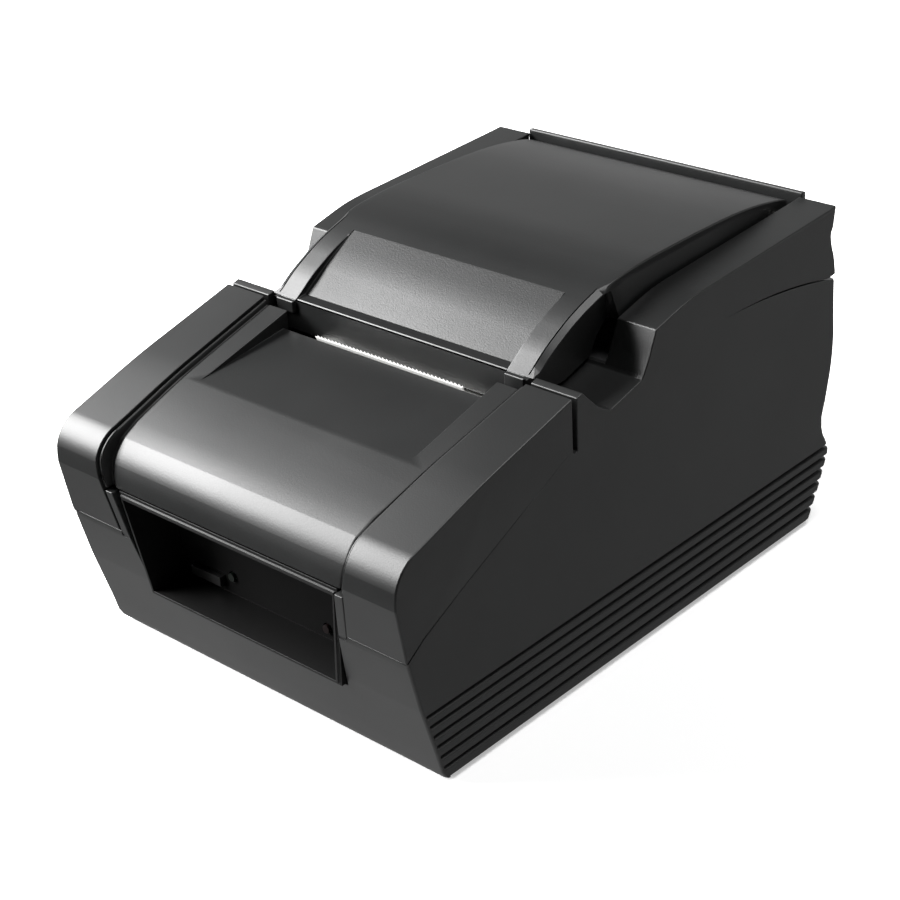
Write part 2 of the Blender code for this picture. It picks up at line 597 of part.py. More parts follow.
def mechanism_frame(look, train):
    """Two side plates with open slots for the platen, joined by a floor and a spring rest."""
    slot = 3.75

    def by_platen(up, out):
        return (PLATEN[0] + LIFT[0] * up + FRONTWARD[0] * out, PLATEN[1] + LIFT[1] * up + FRONTWARD[1] * out)

    start = math.degrees(math.atan2(FRONTWARD[1], FRONTWARD[0])) % 360.0
    bottom = arc(PLATEN, slot, start, start + 180.0, 10)
    outline = [(45.0, 32.0), head_point(-8.0, 12.4), head_point(6.4, 12.4), by_platen(5.0, slot), *bottom,
               by_platen(5.0, -slot), (70.5, 77.0), (84.0, 60.0), (84.0, 32.0)]
    parts = [prism("plate", outline, "x", PLATE_INNER, PLATE_OUTER),
             prism("plate", outline, "x", -PLATE_OUTER, -PLATE_INNER)]
    body = box("mechanism_frame", (-PLATE_OUTER, PLATE_OUTER), (45.0, 84.0), (31.95, 33.15))
    rest = [head_point(-6.0, 10.0), head_point(6.0, 10.0), head_point(6.0, 11.2), head_point(-6.0, 11.2)]
    fuse(body, *parts)
    fuse(body, prism("spring_rest", rest, "x", -PLATE_INNER - 0.6, PLATE_INNER + 0.6))
    cut(body, disc("motor_boss", "x", train["motor"][0], 3.4, 30.0, 33.0, 20))
    cut(body, disc("axle_hole", "x", train["idler"][0], 1.85, 30.0, 33.0, 16))
    for x, y in frame_screw_places():
        cut(body, disc("screw_hole", "z", (x, y), 1.75, 31.0, 34.0, 14))
    for y, z in motor_screw_places(train):
        cut(body, disc("screw_hole", "x", (y, z), 1.5, 30.0, 33.0, 14))
    return finish(body, "mechanism_frame", look)


def frame_screw_places():
    return [(-26.0, 79.0), (-26.0, 50.0)]


def motor_screw_places(train):
    y, z = train["motor"][0]
    return [(y - 7.6, z + 2.0), (y + 7.6, z - 2.0)]


def print_head(ceramic, aluminium, steel, film):
    pivot = (0.0, *head_point(-10.4, 2.9))
    board = [head_point(-10.4, 0.0), head_point(5.4, 0.0), head_point(5.4, 1.0), head_point(-10.4, 1.0)]
    finish(prism("print_head", board, "x", -30.4, 30.4), "print_head", ceramic, pivot)
    sink = [head_point(-10.4, 1.35), head_point(6.0, 1.35), head_point(6.0, 4.2), head_point(-10.4, 4.2)]
    body = prism("head_heat_sink", sink, "x", -30.2, 30.2)
    finish(body, "head_heat_sink", aluminium, pivot)
    for name, x in (("head_spring_left", -18.0), ("head_spring_right", 18.0)):
        finish(spring(name, x), name, steel, pivot, 60)
    route = [(60.6, 60.6), (61.0, 50.0), (62.4, 41.0), (66.0, 36.4), (72.0, 34.9), (80.0, 34.7), (86.0, 33.0),
             (90.5, 28.0), (94.0, 19.0), (98.0, 13.2), (104.0, 11.2), (110.0, 10.8)]
    finish(prism("head_cable", ribbon(route, 0.3), "x", -22.4, -6.4), "head_cable", film)


def spring(name, x):
    """A short compression coil between the heat sink and the frame's spring rest."""
    wire, coil, turns, steps, sides = 0.3, 2.1, 4.0, 9, 6
    shape = bmesh.new()
    rows = []
    total = int(turns * steps)
    for i in range(total + 1):
        angle = 2 * math.pi * i / steps
        depth = 4.9 + 4.3 * i / total
        y, z = head_point(coil * math.sin(angle), depth)
        centre = Vector((x + coil * math.cos(angle), y, z))
        lift = Vector((0.0, LIFT[0], LIFT[1]))
        radial = Vector((math.cos(angle), 0.0, 0.0)) + lift * math.sin(angle)
        forward = Vector((0.0, FRONTWARD[0], FRONTWARD[1]))
        row = []
        for k in range(sides):
            turn = 2 * math.pi * k / sides
            row.append(shape.verts.new(centre + (radial * math.cos(turn) + forward * math.sin(turn)) * wire))
        rows.append(row)
    for first, second in zip(rows, rows[1:]):
        for k in range(sides):
            j = (k + 1) % sides
            shape.faces.new((first[k], second[k], second[j], first[j]))
    shape.faces.new(rows[0])
    shape.faces.new(rows[-1][::-1])
    return to_object(name, shape)


def ribbon(route, thickness):
    """A thin closed outline along a route of points."""
    sides = ([], [])
    for i, point in enumerate(route):
        before, after = route[max(i - 1, 0)], route[min(i + 1, len(route) - 1)]
        run = Vector((after[0] - before[0], after[1] - before[1])).normalized()
        across = Vector((-run.y, run.x)) * thickness / 2
        sides[0].append((point[0] + across.x, point[1] + across.y))
        sides[1].append((point[0] - across.x, point[1] - across.y))
    return sides[0] + sides[1][::-1]


# Paper

def paper_route():
    """From the roll's underside to the platen, round it through the nip, and out of the slot."""
    roll_reach, platen_reach = ROLL_RADIUS + GAP + 0.1, PLATEN_RADIUS + 0.45
    run = Vector((PLATEN[0] - ROLL[0], PLATEN[1] - ROLL[1]))
    length = run.length
    run.normalize()
    share = (roll_reach - platen_reach) / length
    below = Vector((run.y, -run.x))
    if below.y > 0:
        below = -below
    normal = run * share + below * math.sqrt(1 - share * share)
    start = (ROLL[0] + normal.x * roll_reach, ROLL[1] + normal.y * roll_reach)
    from_degrees = math.degrees(math.atan2(normal.y, normal.x)) % 360.0
    to_degrees = math.degrees(math.atan2(FRONTWARD[1], FRONTWARD[0])) % 360.0
    wrap = arc(PLATEN, platen_reach, from_degrees, to_degrees, 7)
    nip = wrap[-1]
    leave = [(nip[0] + LIFT[0] * s, nip[1] + LIFT[1] * s) for s in (3.0, 6.0)]
    return [start, *wrap, *leave, (55.55, 80.0), (54.7, 82.0), (54.0, 83.6)]


def paper(look, card):
    route = paper_route()
    sheet = prism("paper_web", ribbon(route, PAPER_THICKNESS), "x", -PAPER_HALF, PAPER_HALF)
    finish(sheet, "paper_web", look)
    pivot = (0.0, *ROLL)
    roll = ring("paper_roll", "x", ROLL, ROLL_RADIUS, CORE_RADIUS + GAP, -28.6, 28.6, 40)
    finish(roll, "paper_roll", look, pivot, 40)
    core = ring("roll_core", "x", ROLL, CORE_RADIUS, CORE_BORE, -28.6, 28.6, 24)
    finish(core, "roll_core", card, pivot, 40)


def roll_bin(look):
    """Trough for the paper roll, hung from a deck that closes the space under the lid."""
    wall = 1.8
    deck_low, deck_high = 82.6, 84.6
    body = box("roll_bin", (-52.8, 52.8), (88.8, 180.4), (deck_low, deck_high))
    rear = BIN_CENTRE[0] + BIN_RADIUS
    cut(body, box("mouth", (-30.0, 30.0), (90.8, rear + 0.6), (70.0, 90.0)))
    inner = arc(BIN_CENTRE, BIN_RADIUS, 226.0, 360.0, 14)
    outer = arc(BIN_CENTRE, BIN_RADIUS + wall, 360.0, 226.0, 14)
    trough = [*inner, (rear, deck_high - 0.4), (rear + wall, deck_high - 0.4), *outer]
    fuse(body, prism("trough", trough, "x", -31.6, 31.6))
    cheek = [(89.4, deck_high - 0.7), (89.4, 50.0), *arc(BIN_CENTRE, BIN_RADIUS + 0.9, 227.0, 359.0, 13),
             (rear + 0.9, deck_high - 0.7)]
    for side_sign in (-1, 1):
        low, high = sorted((side_sign * 29.8, side_sign * 31.2))
        fuse(body, prism("cheek", cheek, "x", low, high))
    return finish(body, "roll_bin", look)


# Electronics, switches and fasteners

def electronics(looks):
    board = box("main_board", (-47.0, 47.0), (96.0, 168.0), (BOARD_LOW, BOARD_LOW + BOARD_THICKNESS))
    for x, y in board_screw_places():
        cut(board, disc("hole", "z", (x, y), 1.75, 0.0, 20.0, 14))
    finish(board, "main_board", looks["board"])
    deck = BOARD_LOW + BOARD_THICKNESS + GAP
    jack = box("power_jack", (-38.6, -29.4), (159.0, 174.0), (deck, 20.6))
    cut(jack, disc("bore", "y", (-34.0, 15.2), 3.1, 163.0, 180.0, 20))
    fuse(jack, disc("pin", "y", (-34.0, 15.2), 1.0, 162.0, 172.4, 14))
    finish(jack, "power_jack", looks["dark"])
    usb = box("usb_socket", (-19.0, -7.0), (157.0, 174.0), (deck, 21.0))
    ring_hole = [(-17.4, 11.4), (-8.6, 11.4), (-8.6, 17.6), (-10.6, 19.6), (-15.4, 19.6), (-17.4, 17.6)]
    cut(usb, prism("mouth", ring_hole, "y", 164.0, 180.0))
    tongue = box("tongue", (-15.6, -10.4), (163.0, 172.6), (13.6, 16.6))
    finish(fuse(usb, tongue), "usb_socket", looks["steel"])
    drawer = box("drawer_jack", (2.4, 15.6), (158.0, 174.0), (deck, 22.6))
    step = [(4.0, 12.0), (7.0, 12.0), (7.0, 10.8), (11.0, 10.8), (11.0, 12.0), (14.0, 12.0), (14.0, 20.4), (4.0, 20.4)]
    cut(drawer, prism("mouth", step, "y", 161.0, 180.0))
    finish(drawer, "drawer_jack", looks["dark"])
    sensor = box("paper_sensor", (-6.0, 6.0), (91.0, 96.4), (31.2, 35.6))
    finish(sensor, "paper_sensor", looks["dark"])


def power_switch(look, rocker_look):
    """Rocker switch for power, its rocker on two short pins in the bezel."""
    x, y = ROCKER
    bezel = box("switch_bezel", (x - 9.6, x + 9.6), (160.0, 175.7), (9.95, 22.2))
    cut(bezel, box("opening", (x - 8.0, x + 8.0), (166.0, 180.0), (11.0, 20.6)))
    cut(bezel, disc("pin_holes", "z", ROCKER, 1.1, 10.4, 21.4, 16))
    finish(bezel, "switch_bezel", look)
    shape = [(-7.2, 172.8), (-7.2, 176.2), (0.0, 174.4), (7.2, 174.4), (7.2, 172.8), (2.0, 169.5), (-2.0, 169.5)]
    rocker = prism("switch_rocker", [(x + across, out) for across, out in shape], "z", 11.4, 20.2)
    fuse(rocker, disc("pins", "z", ROCKER, 0.7, 10.75, 21.0, 16))
    finish(rocker, "switch_rocker", rocker_look, (x, y, 15.8))


def controls(looks):
    """Feed button, its push switch, two lenses and their board, behind the bay."""
    board = box("control_board", (-36.0, 26.0), (11.2, 12.8), (23.6, 35.0))
    finish(board, "control_board", looks["board"])
    button = box("feed_button", (-33.2, -20.8), (1.6, 3.0), (26.0, 29.0))
    fuse(button, box("skirt", (-33.2, -20.8), (2.6, 5.4), (26.0, 29.0)))
    fuse(button, box("stop", (-34.6, -19.4), (5.4, 6.4), (25.2, 29.8)))
    fuse(button, box("plunger", (-28.5, -25.5), (6.2, 7.6), (26.4, 28.6)))
    finish(button, "feed_button", looks["button"])
    finish(box("feed_switch", (-30.0, -24.0), (8.3, 10.85), (25.0, 30.0)), "feed_switch", looks["dark"])
    for name, (x, z) in zip(("power_lens", "error_lens"), LED_PLACES):
        lens = disc(name, "y", (x, z), 1.3, 2.6, 10.85, 16)
        finish(lens, name, looks[name], smooth=40)


def feet(look):
    names = ("foot_front_left", "foot_rear_left", "foot_front_right", "foot_rear_right")
    for name, place in zip(names, foot_places()):
        finish(prism(name, rounded_box(place, 5.0, 9.0, 4.0), "z", -FOOT_DROP, 0.6), name, look, smooth=40)


def screw(name, axis, centre, head, under, tip, head_radius, shank_radius, look):
    """A screw from its head's face, by the face under the head, to its tip, with a cross recess."""
    low, high = sorted((under, tip))
    shank = disc(name, axis, centre, shank_radius, low, high, 12)
    towards = 1.0 if head > under else -1.0
    low, high = sorted((under - 0.2 * towards, head))
    fuse(shank, disc("head", axis, centre, head_radius, low, high, 16))
    reach, half = head_radius * 0.6, head_radius * 0.14
    low, high = sorted((head - 0.7 * towards, head + 1.0 * towards))
    cross = [(reach, -half), (reach, half), (half, half), (half, reach), (-half, reach), (-half, half),
             (-reach, half), (-reach, -half), (-half, -half), (-half, -reach), (half, -reach), (half, -half)]
    cut(shank, prism("cross", [(centre[0] + a, centre[1] + b) for a, b in cross], axis, low, high))
    return finish(shank, name, look)


def screws(look, train):
    corners = ("front_left", "rear_left", "front_right", "rear_right")
    for corner, place in zip(corners, case_screw_places()):
        screw("case_screw_" + corner, "z", place, 3.6, 5.6, 17.0, 2.7, 1.4, look)
    top = BOARD_LOW + BOARD_THICKNESS
    for corner, place in zip(corners, board_screw_places()):
        screw("board_screw_" + corner, "z", place, top + GAP + 1.5, top + GAP, BOARD_LOW, 2.6, 1.35, look)
    for end, place in zip(("rear", "front"), frame_screw_places()):
        screw("frame_screw_" + end, "z", place, 35.1, 33.5, 31.95, 2.8, 1.35, look)
    for end, place in zip(("front", "rear"), motor_screw_places(train)):
        screw("motor_screw_" + end, "x", place, 33.1, 32.55, 31.0, 2.0, 1.1, look)


def build():
    clear_scene()
    black = material("black_abs", (0.022, 0.023, 0.022), 0.42)
    dark = material("inner_abs", (0.03, 0.03, 0.03), 0.6)
    bay = material("bay_abs", (0.012, 0.012, 0.012), 0.7)
    rubber = material("rubber", (0.02, 0.02, 0.02), 0.85)
    steel = material("steel", (0.62, 0.62, 0.6), 0.3, 1.0)
    dark_steel = material("motor_steel", (0.3, 0.3, 0.3), 0.4, 1.0)
    gear_plastic = material("gear_pom", (0.75, 0.74, 0.7), 0.45)
    film = material("cable_film", (0.72, 0.74, 0.78), 0.4)
    train = gear_train()

    base(black)
    upper_housing(black)
    front_cover(black)
    centre_panel(black)
    bay_liner(bay)
    lid(black)
    tear_bar(steel)
    hinge_pins(steel)
    platen(rubber, steel, gear_plastic, train)
    drive(train, gear_plastic, steel, dark_steel)
    mechanism_frame(material("zinc_plate", (0.55, 0.56, 0.56), 0.35, 1.0), train)
    print_head(material("head_ceramic", (0.75, 0.72, 0.62), 0.35), material("aluminium", (0.7, 0.7, 0.7), 0.35, 1.0),
               steel, film)
    paper(material("paper", (0.9, 0.9, 0.88), 0.8), material("card_core", (0.5, 0.38, 0.25), 0.9))
    roll_bin(dark)
    electronics({"board": material("board_green", (0.02, 0.16, 0.07), 0.4), "dark": dark, "steel": steel})
    power_switch(dark, material("rocker_plastic", (0.015, 0.015, 0.015), 0.35))
    controls({"board": material("board_green", (0.02, 0.16, 0.07), 0.4), "dark": dark,
              "button": material("button_plastic", (0.06, 0.06, 0.06), 0.35),
              "power_lens": material("lens_green", (0.05, 0.35, 0.1), 0.15),
              "error_lens": material("lens_red", (0.4, 0.03, 0.03), 0.15)})
    feet(rubber)
    screws(material("screw_steel", (0.35, 0.35, 0.36), 0.35, 1.0), train)


build()
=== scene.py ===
"""Looks for a desktop receipt printer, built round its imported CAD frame.

Lengths are millimetres in a drawing frame: X to the right, Y from the lower front edge to the rear, Z up from
the housing's underside. place() turns them into metres in the row frame.
"""

import json
import math

import bmesh
import bpy
from mathutils import Matrix, Vector


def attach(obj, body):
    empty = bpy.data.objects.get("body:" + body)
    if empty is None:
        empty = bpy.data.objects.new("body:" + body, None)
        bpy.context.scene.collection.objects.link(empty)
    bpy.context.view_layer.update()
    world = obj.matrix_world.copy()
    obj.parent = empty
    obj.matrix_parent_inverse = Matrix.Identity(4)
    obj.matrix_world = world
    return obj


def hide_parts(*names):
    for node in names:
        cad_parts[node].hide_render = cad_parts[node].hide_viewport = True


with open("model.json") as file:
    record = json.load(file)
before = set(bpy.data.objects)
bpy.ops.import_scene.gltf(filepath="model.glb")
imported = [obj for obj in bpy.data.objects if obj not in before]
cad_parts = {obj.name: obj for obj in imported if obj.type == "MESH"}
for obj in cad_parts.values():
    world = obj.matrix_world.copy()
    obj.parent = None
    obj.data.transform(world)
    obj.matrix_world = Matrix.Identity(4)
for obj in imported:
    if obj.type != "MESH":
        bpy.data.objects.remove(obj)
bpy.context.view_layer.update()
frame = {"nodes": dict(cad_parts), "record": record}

MM = 0.001
SHIFT = Vector((0.0, -85.2, 1.5))

# Outline points are (Y, Z) pairs, and a half is a half width in X.
HALF_WIDTH = 67.0
WALL = 2.3
GAP = 0.35
NOSE, NOSE_RADIUS = (-3.6, 61.4), 11.9
NOSE_FROM, NOSE_TO, NOSE_STEPS = 107.7, 165.0, 24
NOSE_FOOT = ((-15.4, 62.2), (-15.5, 59.7))
FRONT_LEAN = 2.76 / 16.9
COVER_REAR, COVER_REAR_TOP = 55.2, 90.6
COVER_BEND = (17.5, 80.7)
COVER_LIP = (-12.74, 42.8)
SKIRT_LINE = ((-12.74, 42.8), (-6.0, 47.4), (10.0, 55.4), (COVER_REAR, 75.84))
PANEL_REAR, PANEL_NOSE, PANEL_LIP = 51.0, 49.2, 45.6
PANEL_DROP = 2.0
PANEL_FOOT = 56.9
PANEL_NOSE_CENTRE, PANEL_NOSE_RADIUS, PANEL_NOSE_FROM = (5.0, 56.35), 17.66, 17.9
RAMP_HALF = 41.0
RAMP_FRONT, RAMP_REAR = (19.5, 79.2), (52.8, 83.5)
BAY_LOW, BAY_HIGH = 24.2, 54.1
BAY_HALF_LOW, BAY_HALF_HIGH = 37.0, 41.8
BAY_FACE_LOW, BAY_FACE_HIGH = -10.1, -13.1
BAY_BACK = 5.0
LED_PLACES = ((-17.0, 30.0), (21.0, 27.5))
NOTCH = ((57.0, 90.1), (59.4, 90.8), (63.2, 86.9), (67.1, 83.3), (70.6, 81.4), (71.8, 81.0), (85.5, 84.5))
PARTING_CENTRE, PARTING_RADIUS = (125.0, -144.4), 233.0
RAIL_INNER = 53.4
HINGE = (177.0, 99.8)
LID_HALF = 50.5
LID_LIP = 58.8
LID_TOP = ((61.0, 92.0), (66.0, 95.6), (71.3, 98.6), (77.0, 101.4), (84.0, 104.0), (93.0, 106.4),
           (105.0, 107.8), (118.0, 108.3), (146.0, 108.3), (162.0, 107.4), (175.5, 105.4), (180.4, 103.9))
LID_CREASES = ((62.6, 91.0), (84.8, 104.25))
LID_STATIONS = (-47.2, -41.6, 41.6, 47.2)
PLATEN = (64.0, 73.0)
PIN_HOLE, PLATEN_HOLE = 1.85, 2.35

PAPER_WIDTH, PAPER_THICKNESS = 57.5, 0.1
PAPER_LINE = ((55.75, 78.6), (55.5, 80.2), (54.9, 82.3), (54.3, 84.1))
TOOTH_PITCH, TOOTH_DEPTH = 1.45, 1.15

# Mesh clean-up and edges
SAME_POINT, NO_LENGTH, FLAT_DEGREES = 0.004, 0.01, 0.7
CREASE_BEVEL = 0.12
CAD_WELD, CAD_BEVEL, CAD_SHARP_DEGREES = 0.002, 0.15, 35.0
WEIGHTS = "bevel_weight_edge"

# Studio: the world's grey levels by the height of the direction, in front and behind
FRONT_LIGHT = ((-0.66, 1.0), (-0.52, 0.10), (0.0, 0.03), (1.0, 0.02))
REAR_LIGHT = ((-1.0, 0.3), (-0.3, 0.42), (0.02, 0.6), (0.26, 1.3), (0.37, 0.42), (0.45, 0.10), (0.53, 0.02),
              (1.0, 0.02))
BACKDROP_LEVEL = 0.95
FLOOR_HALF, FLOOR_LEVEL, FLOOR_GLOW = 6, 0.9, 0.4
LIT_POINT = (0.0, 0.0, 0.06)

# Camera: angles in radians, place in metres
CAMERA_AZIMUTH, CAMERA_ELEVATION, CAMERA_ROLL = 0.7546981, 0.4813681, -0.0523642
CAMERA_PLACE = (0.363885, -0.393702, 0.323642)
CAMERA_LENS, CAMERA_SENSOR = 79.47, 36.0


# Mesh helpers

def to_object(name, shape):
    bmesh.ops.recalc_face_normals(shape, faces=shape.faces)
    mesh = bpy.data.meshes.new(name)
    shape.to_mesh(mesh)
    shape.free()
    made = bpy.data.objects.new(name, mesh)
    bpy.context.scene.collection.objects.link(made)
    return made


def on_axis(axis, pair, along):
    if axis == "x":
        return Vector((along, pair[0], pair[1]))
    if axis == "y":
        return Vector((pair[0], along, pair[1]))
    return Vector((pair[0], pair[1], along))


def skin(name, rings):
    """A closed body through rings of as many points each."""
    shape = bmesh.new()
    rows = [[shape.verts.new(p) for p in ring] for ring in rings]
    for first, second in zip(rows, rows[1:]):
        for i in range(len(first)):
            j = (i + 1) % len(first)
            shape.faces.new((first[i], second[i], second[j], first[j]))
    shape.faces.new(rows[0])
    shape.faces.new(rows[-1][::-1])
    bmesh.ops.remove_doubles(shape, verts=shape.verts, dist=1e-4)
    return to_object(name, shape)


def prism(outline, axis, low, high):
    return skin("tool", [[on_axis(axis, p, at) for p in outline] for at in (low, high)])


def box(xs, ys, zs):
    return prism([(xs[0], ys[0]), (xs[1], ys[0]), (xs[1], ys[1]), (xs[0], ys[1])], "z", *zs)


def arc(centre, radius, from_degrees, to_degrees, steps):
    angles = [math.radians(from_degrees + (to_degrees - from_degrees) * i / steps) for i in range(steps + 1)]
    return [(centre[0] + radius * math.cos(a), centre[1] + radius * math.sin(a)) for a in angles]


def disc(axis, centre, radius, low, high, count=32):
    return prism(arc(centre, radius, 0.0, 360.0 - 360.0 / count, count - 1), axis, low, high)


def smooth_line(points, steps):
    """A curve through the points."""
    line = []
    for i in range(len(points) - 1):
        a = Vector(points[max(i - 1, 0)])
        b, c = Vector(points[i]), Vector(points[i + 1])
        d = Vector(points[min(i + 2, len(points) - 1)])
        span = (c - b).length
        into = (c - a) * span / max((c - a).length, 1e-6)
        out = (d - b) * span / max((d - b).length, 1e-6)
        for k in range(steps):
            t = k / steps
            point = b * (2 * t ** 3 - 3 * t ** 2 + 1) + into * (t ** 3 - 2 * t ** 2 + t)
            point += c * (3 * t ** 2 - 2 * t ** 3) + out * (t ** 3 - t ** 2)
            line.append((point.x, point.y))
    line.append(tuple(points[-1]))
    return line


def at(line, value, key=0):
    """The other coordinate of a line of points, where one coordinate has this value."""
    pairs = sorted((p[key], p[1 - key]) for p in line)
    if value <= pairs[0][0]:
        return pairs[0][1]
    for (a, b), (c, d) in zip(pairs, pairs[1:]):
        if value <= c:
            return b + (d - b) * (value - a) / (c - a)
    return pairs[-1][1]


def boolean(target, operation, tools):
    for tool in tools:
        step = target.modifiers.new("shape", "BOOLEAN")
        step.operation, step.solver, step.object = operation, "EXACT", tool
        bpy.context.view_layer.update()
        evaluated = target.evaluated_get(bpy.context.evaluated_depsgraph_get())
        mesh = bpy.data.meshes.new_from_object(evaluated)
        target.modifiers.clear()
        target.data = mesh
        bpy.data.objects.remove(tool, do_unlink=True)
    return target


def fuse(target, *tools):
    return boolean(target, "UNION", tools)


def cut(target, *tools):
    return boolean(target, "DIFFERENCE", tools)


def keep(target, *tools):
    return boolean(target, "INTERSECT", tools)


def soften(item, radius, segments=3, sharp=28.0, crease=None, stations=()):
    """Rounds the edges that are sharper than an angle in degrees, by a radius in millimetres.

    The radius is a number, or a function of the edge's middle. crease picks out shallower edges that get a
    narrow bevel, so that they stay a crisp line. stations are the X positions where wide faces are divided,
    so that the shading at their ends does not reach the middle.
    """
    shape = bmesh.new()
    shape.from_mesh(item.data)
    bmesh.ops.remove_doubles(shape, verts=shape.verts, dist=SAME_POINT)
    bmesh.ops.dissolve_degenerate(shape, dist=NO_LENGTH, edges=shape.edges)
    flat = math.radians(FLAT_DEGREES)
    bmesh.ops.dissolve_limit(shape, angle_limit=flat, verts=shape.verts, edges=shape.edges)
    for x in stations:
        everything = [*shape.verts, *shape.edges, *shape.faces]
        bmesh.ops.bisect_plane(shape, geom=everything, dist=1e-4, plane_co=(x, 0.0, 0.0),
                               plane_no=(1.0, 0.0, 0.0))
    layer = shape.edges.layers.float.get(WEIGHTS) or shape.edges.layers.float.new(WEIGHTS)
    limit = math.radians(sharp)
    sizes = {}
    for edge in shape.edges:
        if len(edge.link_faces) == 2 and edge.calc_face_angle(0.0) > limit:
            middle = (edge.verts[0].co + edge.verts[1].co) / 2
            sizes[edge] = radius(middle) if callable(radius) else radius
        elif crease and crease((edge.verts[0].co + edge.verts[1].co) / 2):
            sizes[edge] = CREASE_BEVEL
    widest = max(sizes.values())
    for edge, size in sizes.items():
        edge[layer] = size / widest
    for face in shape.faces:
        face.smooth = True
    for edge in shape.edges:
        edge.smooth = edge not in sizes or sizes[edge] > 0.0
    shape.to_mesh(item.data)
    shape.free()
    step = item.modifiers.new("edges", "BEVEL")
    step.limit_method = "WEIGHT"
    step.width = widest * MM
    step.segments = segments
    step.use_clamp_overlap = False
    step.miter_outer = "MITER_ARC"
    even = item.modifiers.new("shading", "WEIGHTED_NORMAL")
    even.keep_sharp = True


def place(item, name, look, body="housing", stands_for=()):
    """Names a piece, moves it into the row frame in metres, and ties it to its body."""
    item.name = item.data.name = name
    item.data.transform(Matrix.Scale(MM, 4) @ Matrix.Translation(SHIFT))
    kinds = [face.material_index for face in item.data.polygons]
    item.data.materials.clear()
    item.data.materials.append(look)
    item.data.polygons.foreach_set("material_index", kinds)
    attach(item, body)
    if stands_for:
        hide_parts(*stands_for)
    return item


# Materials

def node(tree, kind, **values):
    made = tree.nodes.new(kind)
    for name, value in values.items():
        if name in made.inputs:
            made.inputs[name].default_value = value
        else:
            setattr(made, name, value)
    return made


def set_input(item, name, value):
    item.inputs[name].default_value = value


def moulded(name, colour, roughness, grain=0.35, depth=0.012, spread=0.06, metallic=0.0, specular=0.5,
            tint=0.12):
    """A moulded or plain surface: fine grain in millimetres, with soft changes of gloss and shade."""
    made = bpy.data.materials.new(name)
    made.use_nodes = True
    tree = made.node_tree
    shader = tree.nodes["Principled BSDF"]
    set_input(shader, "Metallic", metallic)
    set_input(shader, "Specular IOR Level", specular)
    place_at = node(tree, "ShaderNodeTexCoord").outputs["Object"]

    def noise(scale, detail=2.0):
        made_noise = node(tree, "ShaderNodeTexNoise")
        set_input(made_noise, "Scale", scale)
        set_input(made_noise, "Detail", detail)
        tree.links.new(place_at, made_noise.inputs["Vector"])
        return made_noise.outputs["Fac"]

    def spread_of(source, low, high):
        made_range = node(tree, "ShaderNodeMapRange")
        set_input(made_range, "From Min", 0.3)
        set_input(made_range, "From Max", 0.7)
        set_input(made_range, "To Min", low)
        set_input(made_range, "To Max", high)
        tree.links.new(source, made_range.inputs["Value"])
        return made_range.outputs["Result"]

    broad = noise(14.0, 3.0)
    tree.links.new(spread_of(broad, roughness - spread, roughness + spread), shader.inputs["Roughness"])
    shade = node(tree, "ShaderNodeMix", data_type="RGBA")
    dark = [c * (1.0 - tint) for c in colour]
    light = [min(c * (1.0 + tint), 1.0) for c in colour]
    shade.inputs[6].default_value = (*dark, 1.0)
    shade.inputs[7].default_value = (*light, 1.0)
    tree.links.new(spread_of(noise(45.0, 4.0), 0.0, 1.0), shade.inputs[0])
    tree.links.new(shade.outputs[2], shader.inputs["Base Color"])
    bump = node(tree, "ShaderNodeBump")
    set_input(bump, "Distance", depth * MM)
    set_input(bump, "Strength", 1.0)
    tree.links.new(noise(1.0 / (grain * MM), 2.0), bump.inputs["Height"])
    tree.links.new(bump.outputs["Normal"], shader.inputs["Normal"])
    return made


def card(name, level, glow):
    """Plain pale card for the floor. It glows a little, so that it stays pale in the object's shade."""
    made = bpy.data.materials.new(name)
    made.use_nodes = True
    shader = made.node_tree.nodes["Principled BSDF"]
    set_input(shader, "Base Color", (level, level, level, 1.0))
    set_input(shader, "Roughness", 1.0)
    set_input(shader, "Specular IOR Level", 0.0)
    set_input(shader, "Emission Color", (1.0, 1.0, 1.0, 1.0))
    set_input(shader, "Emission Strength", glow)
    return made


# The front cover and its centre panel

def cover_line(inset, rear=COVER_REAR, lip=COVER_LIP[1]):
    """The front cover's outline from its rear edge over the nose down to its lip, moved in by inset."""
    slope = math.atan2(COVER_REAR_TOP - COVER_BEND[1], COVER_REAR - COVER_BEND[0])
    top = COVER_REAR_TOP + (rear - COVER_REAR) * math.tan(slope) - inset / math.cos(slope)
    bend = (COVER_BEND[0] + 0.28 * inset, COVER_BEND[1] - 0.96 * inset)
    nose = arc(NOSE, NOSE_RADIUS - inset, NOSE_FROM, NOSE_TO, NOSE_STEPS)
    nose += [(y + inset, z) for y, z in NOSE_FOOT]
    run = smooth_line([(rear, top), ((rear + bend[0]) / 2, (top + bend[1]) / 2), bend, nose[0]], 4)
    foot = nose[-1]
    lip_y = foot[0] + (foot[1] - lip) * FRONT_LEAN
    return [*run[:-1], *nose, (lip_y, lip)]


def panel_half(point):
    """Half width of the centre panel's opening at a point of the cover's outline."""
    y, z = point
    widest = NOSE[1] + 4.0
    if z < widest:
        share = (z - COVER_LIP[1]) / (widest - COVER_LIP[1])
        return PANEL_LIP + (PANEL_NOSE - PANEL_LIP) * max(share, 0.0)
    share = (y - NOSE[0]) / (COVER_REAR - NOSE[0])
    return PANEL_NOSE + (PANEL_REAR - PANEL_NOSE) * max(share, 0.0)


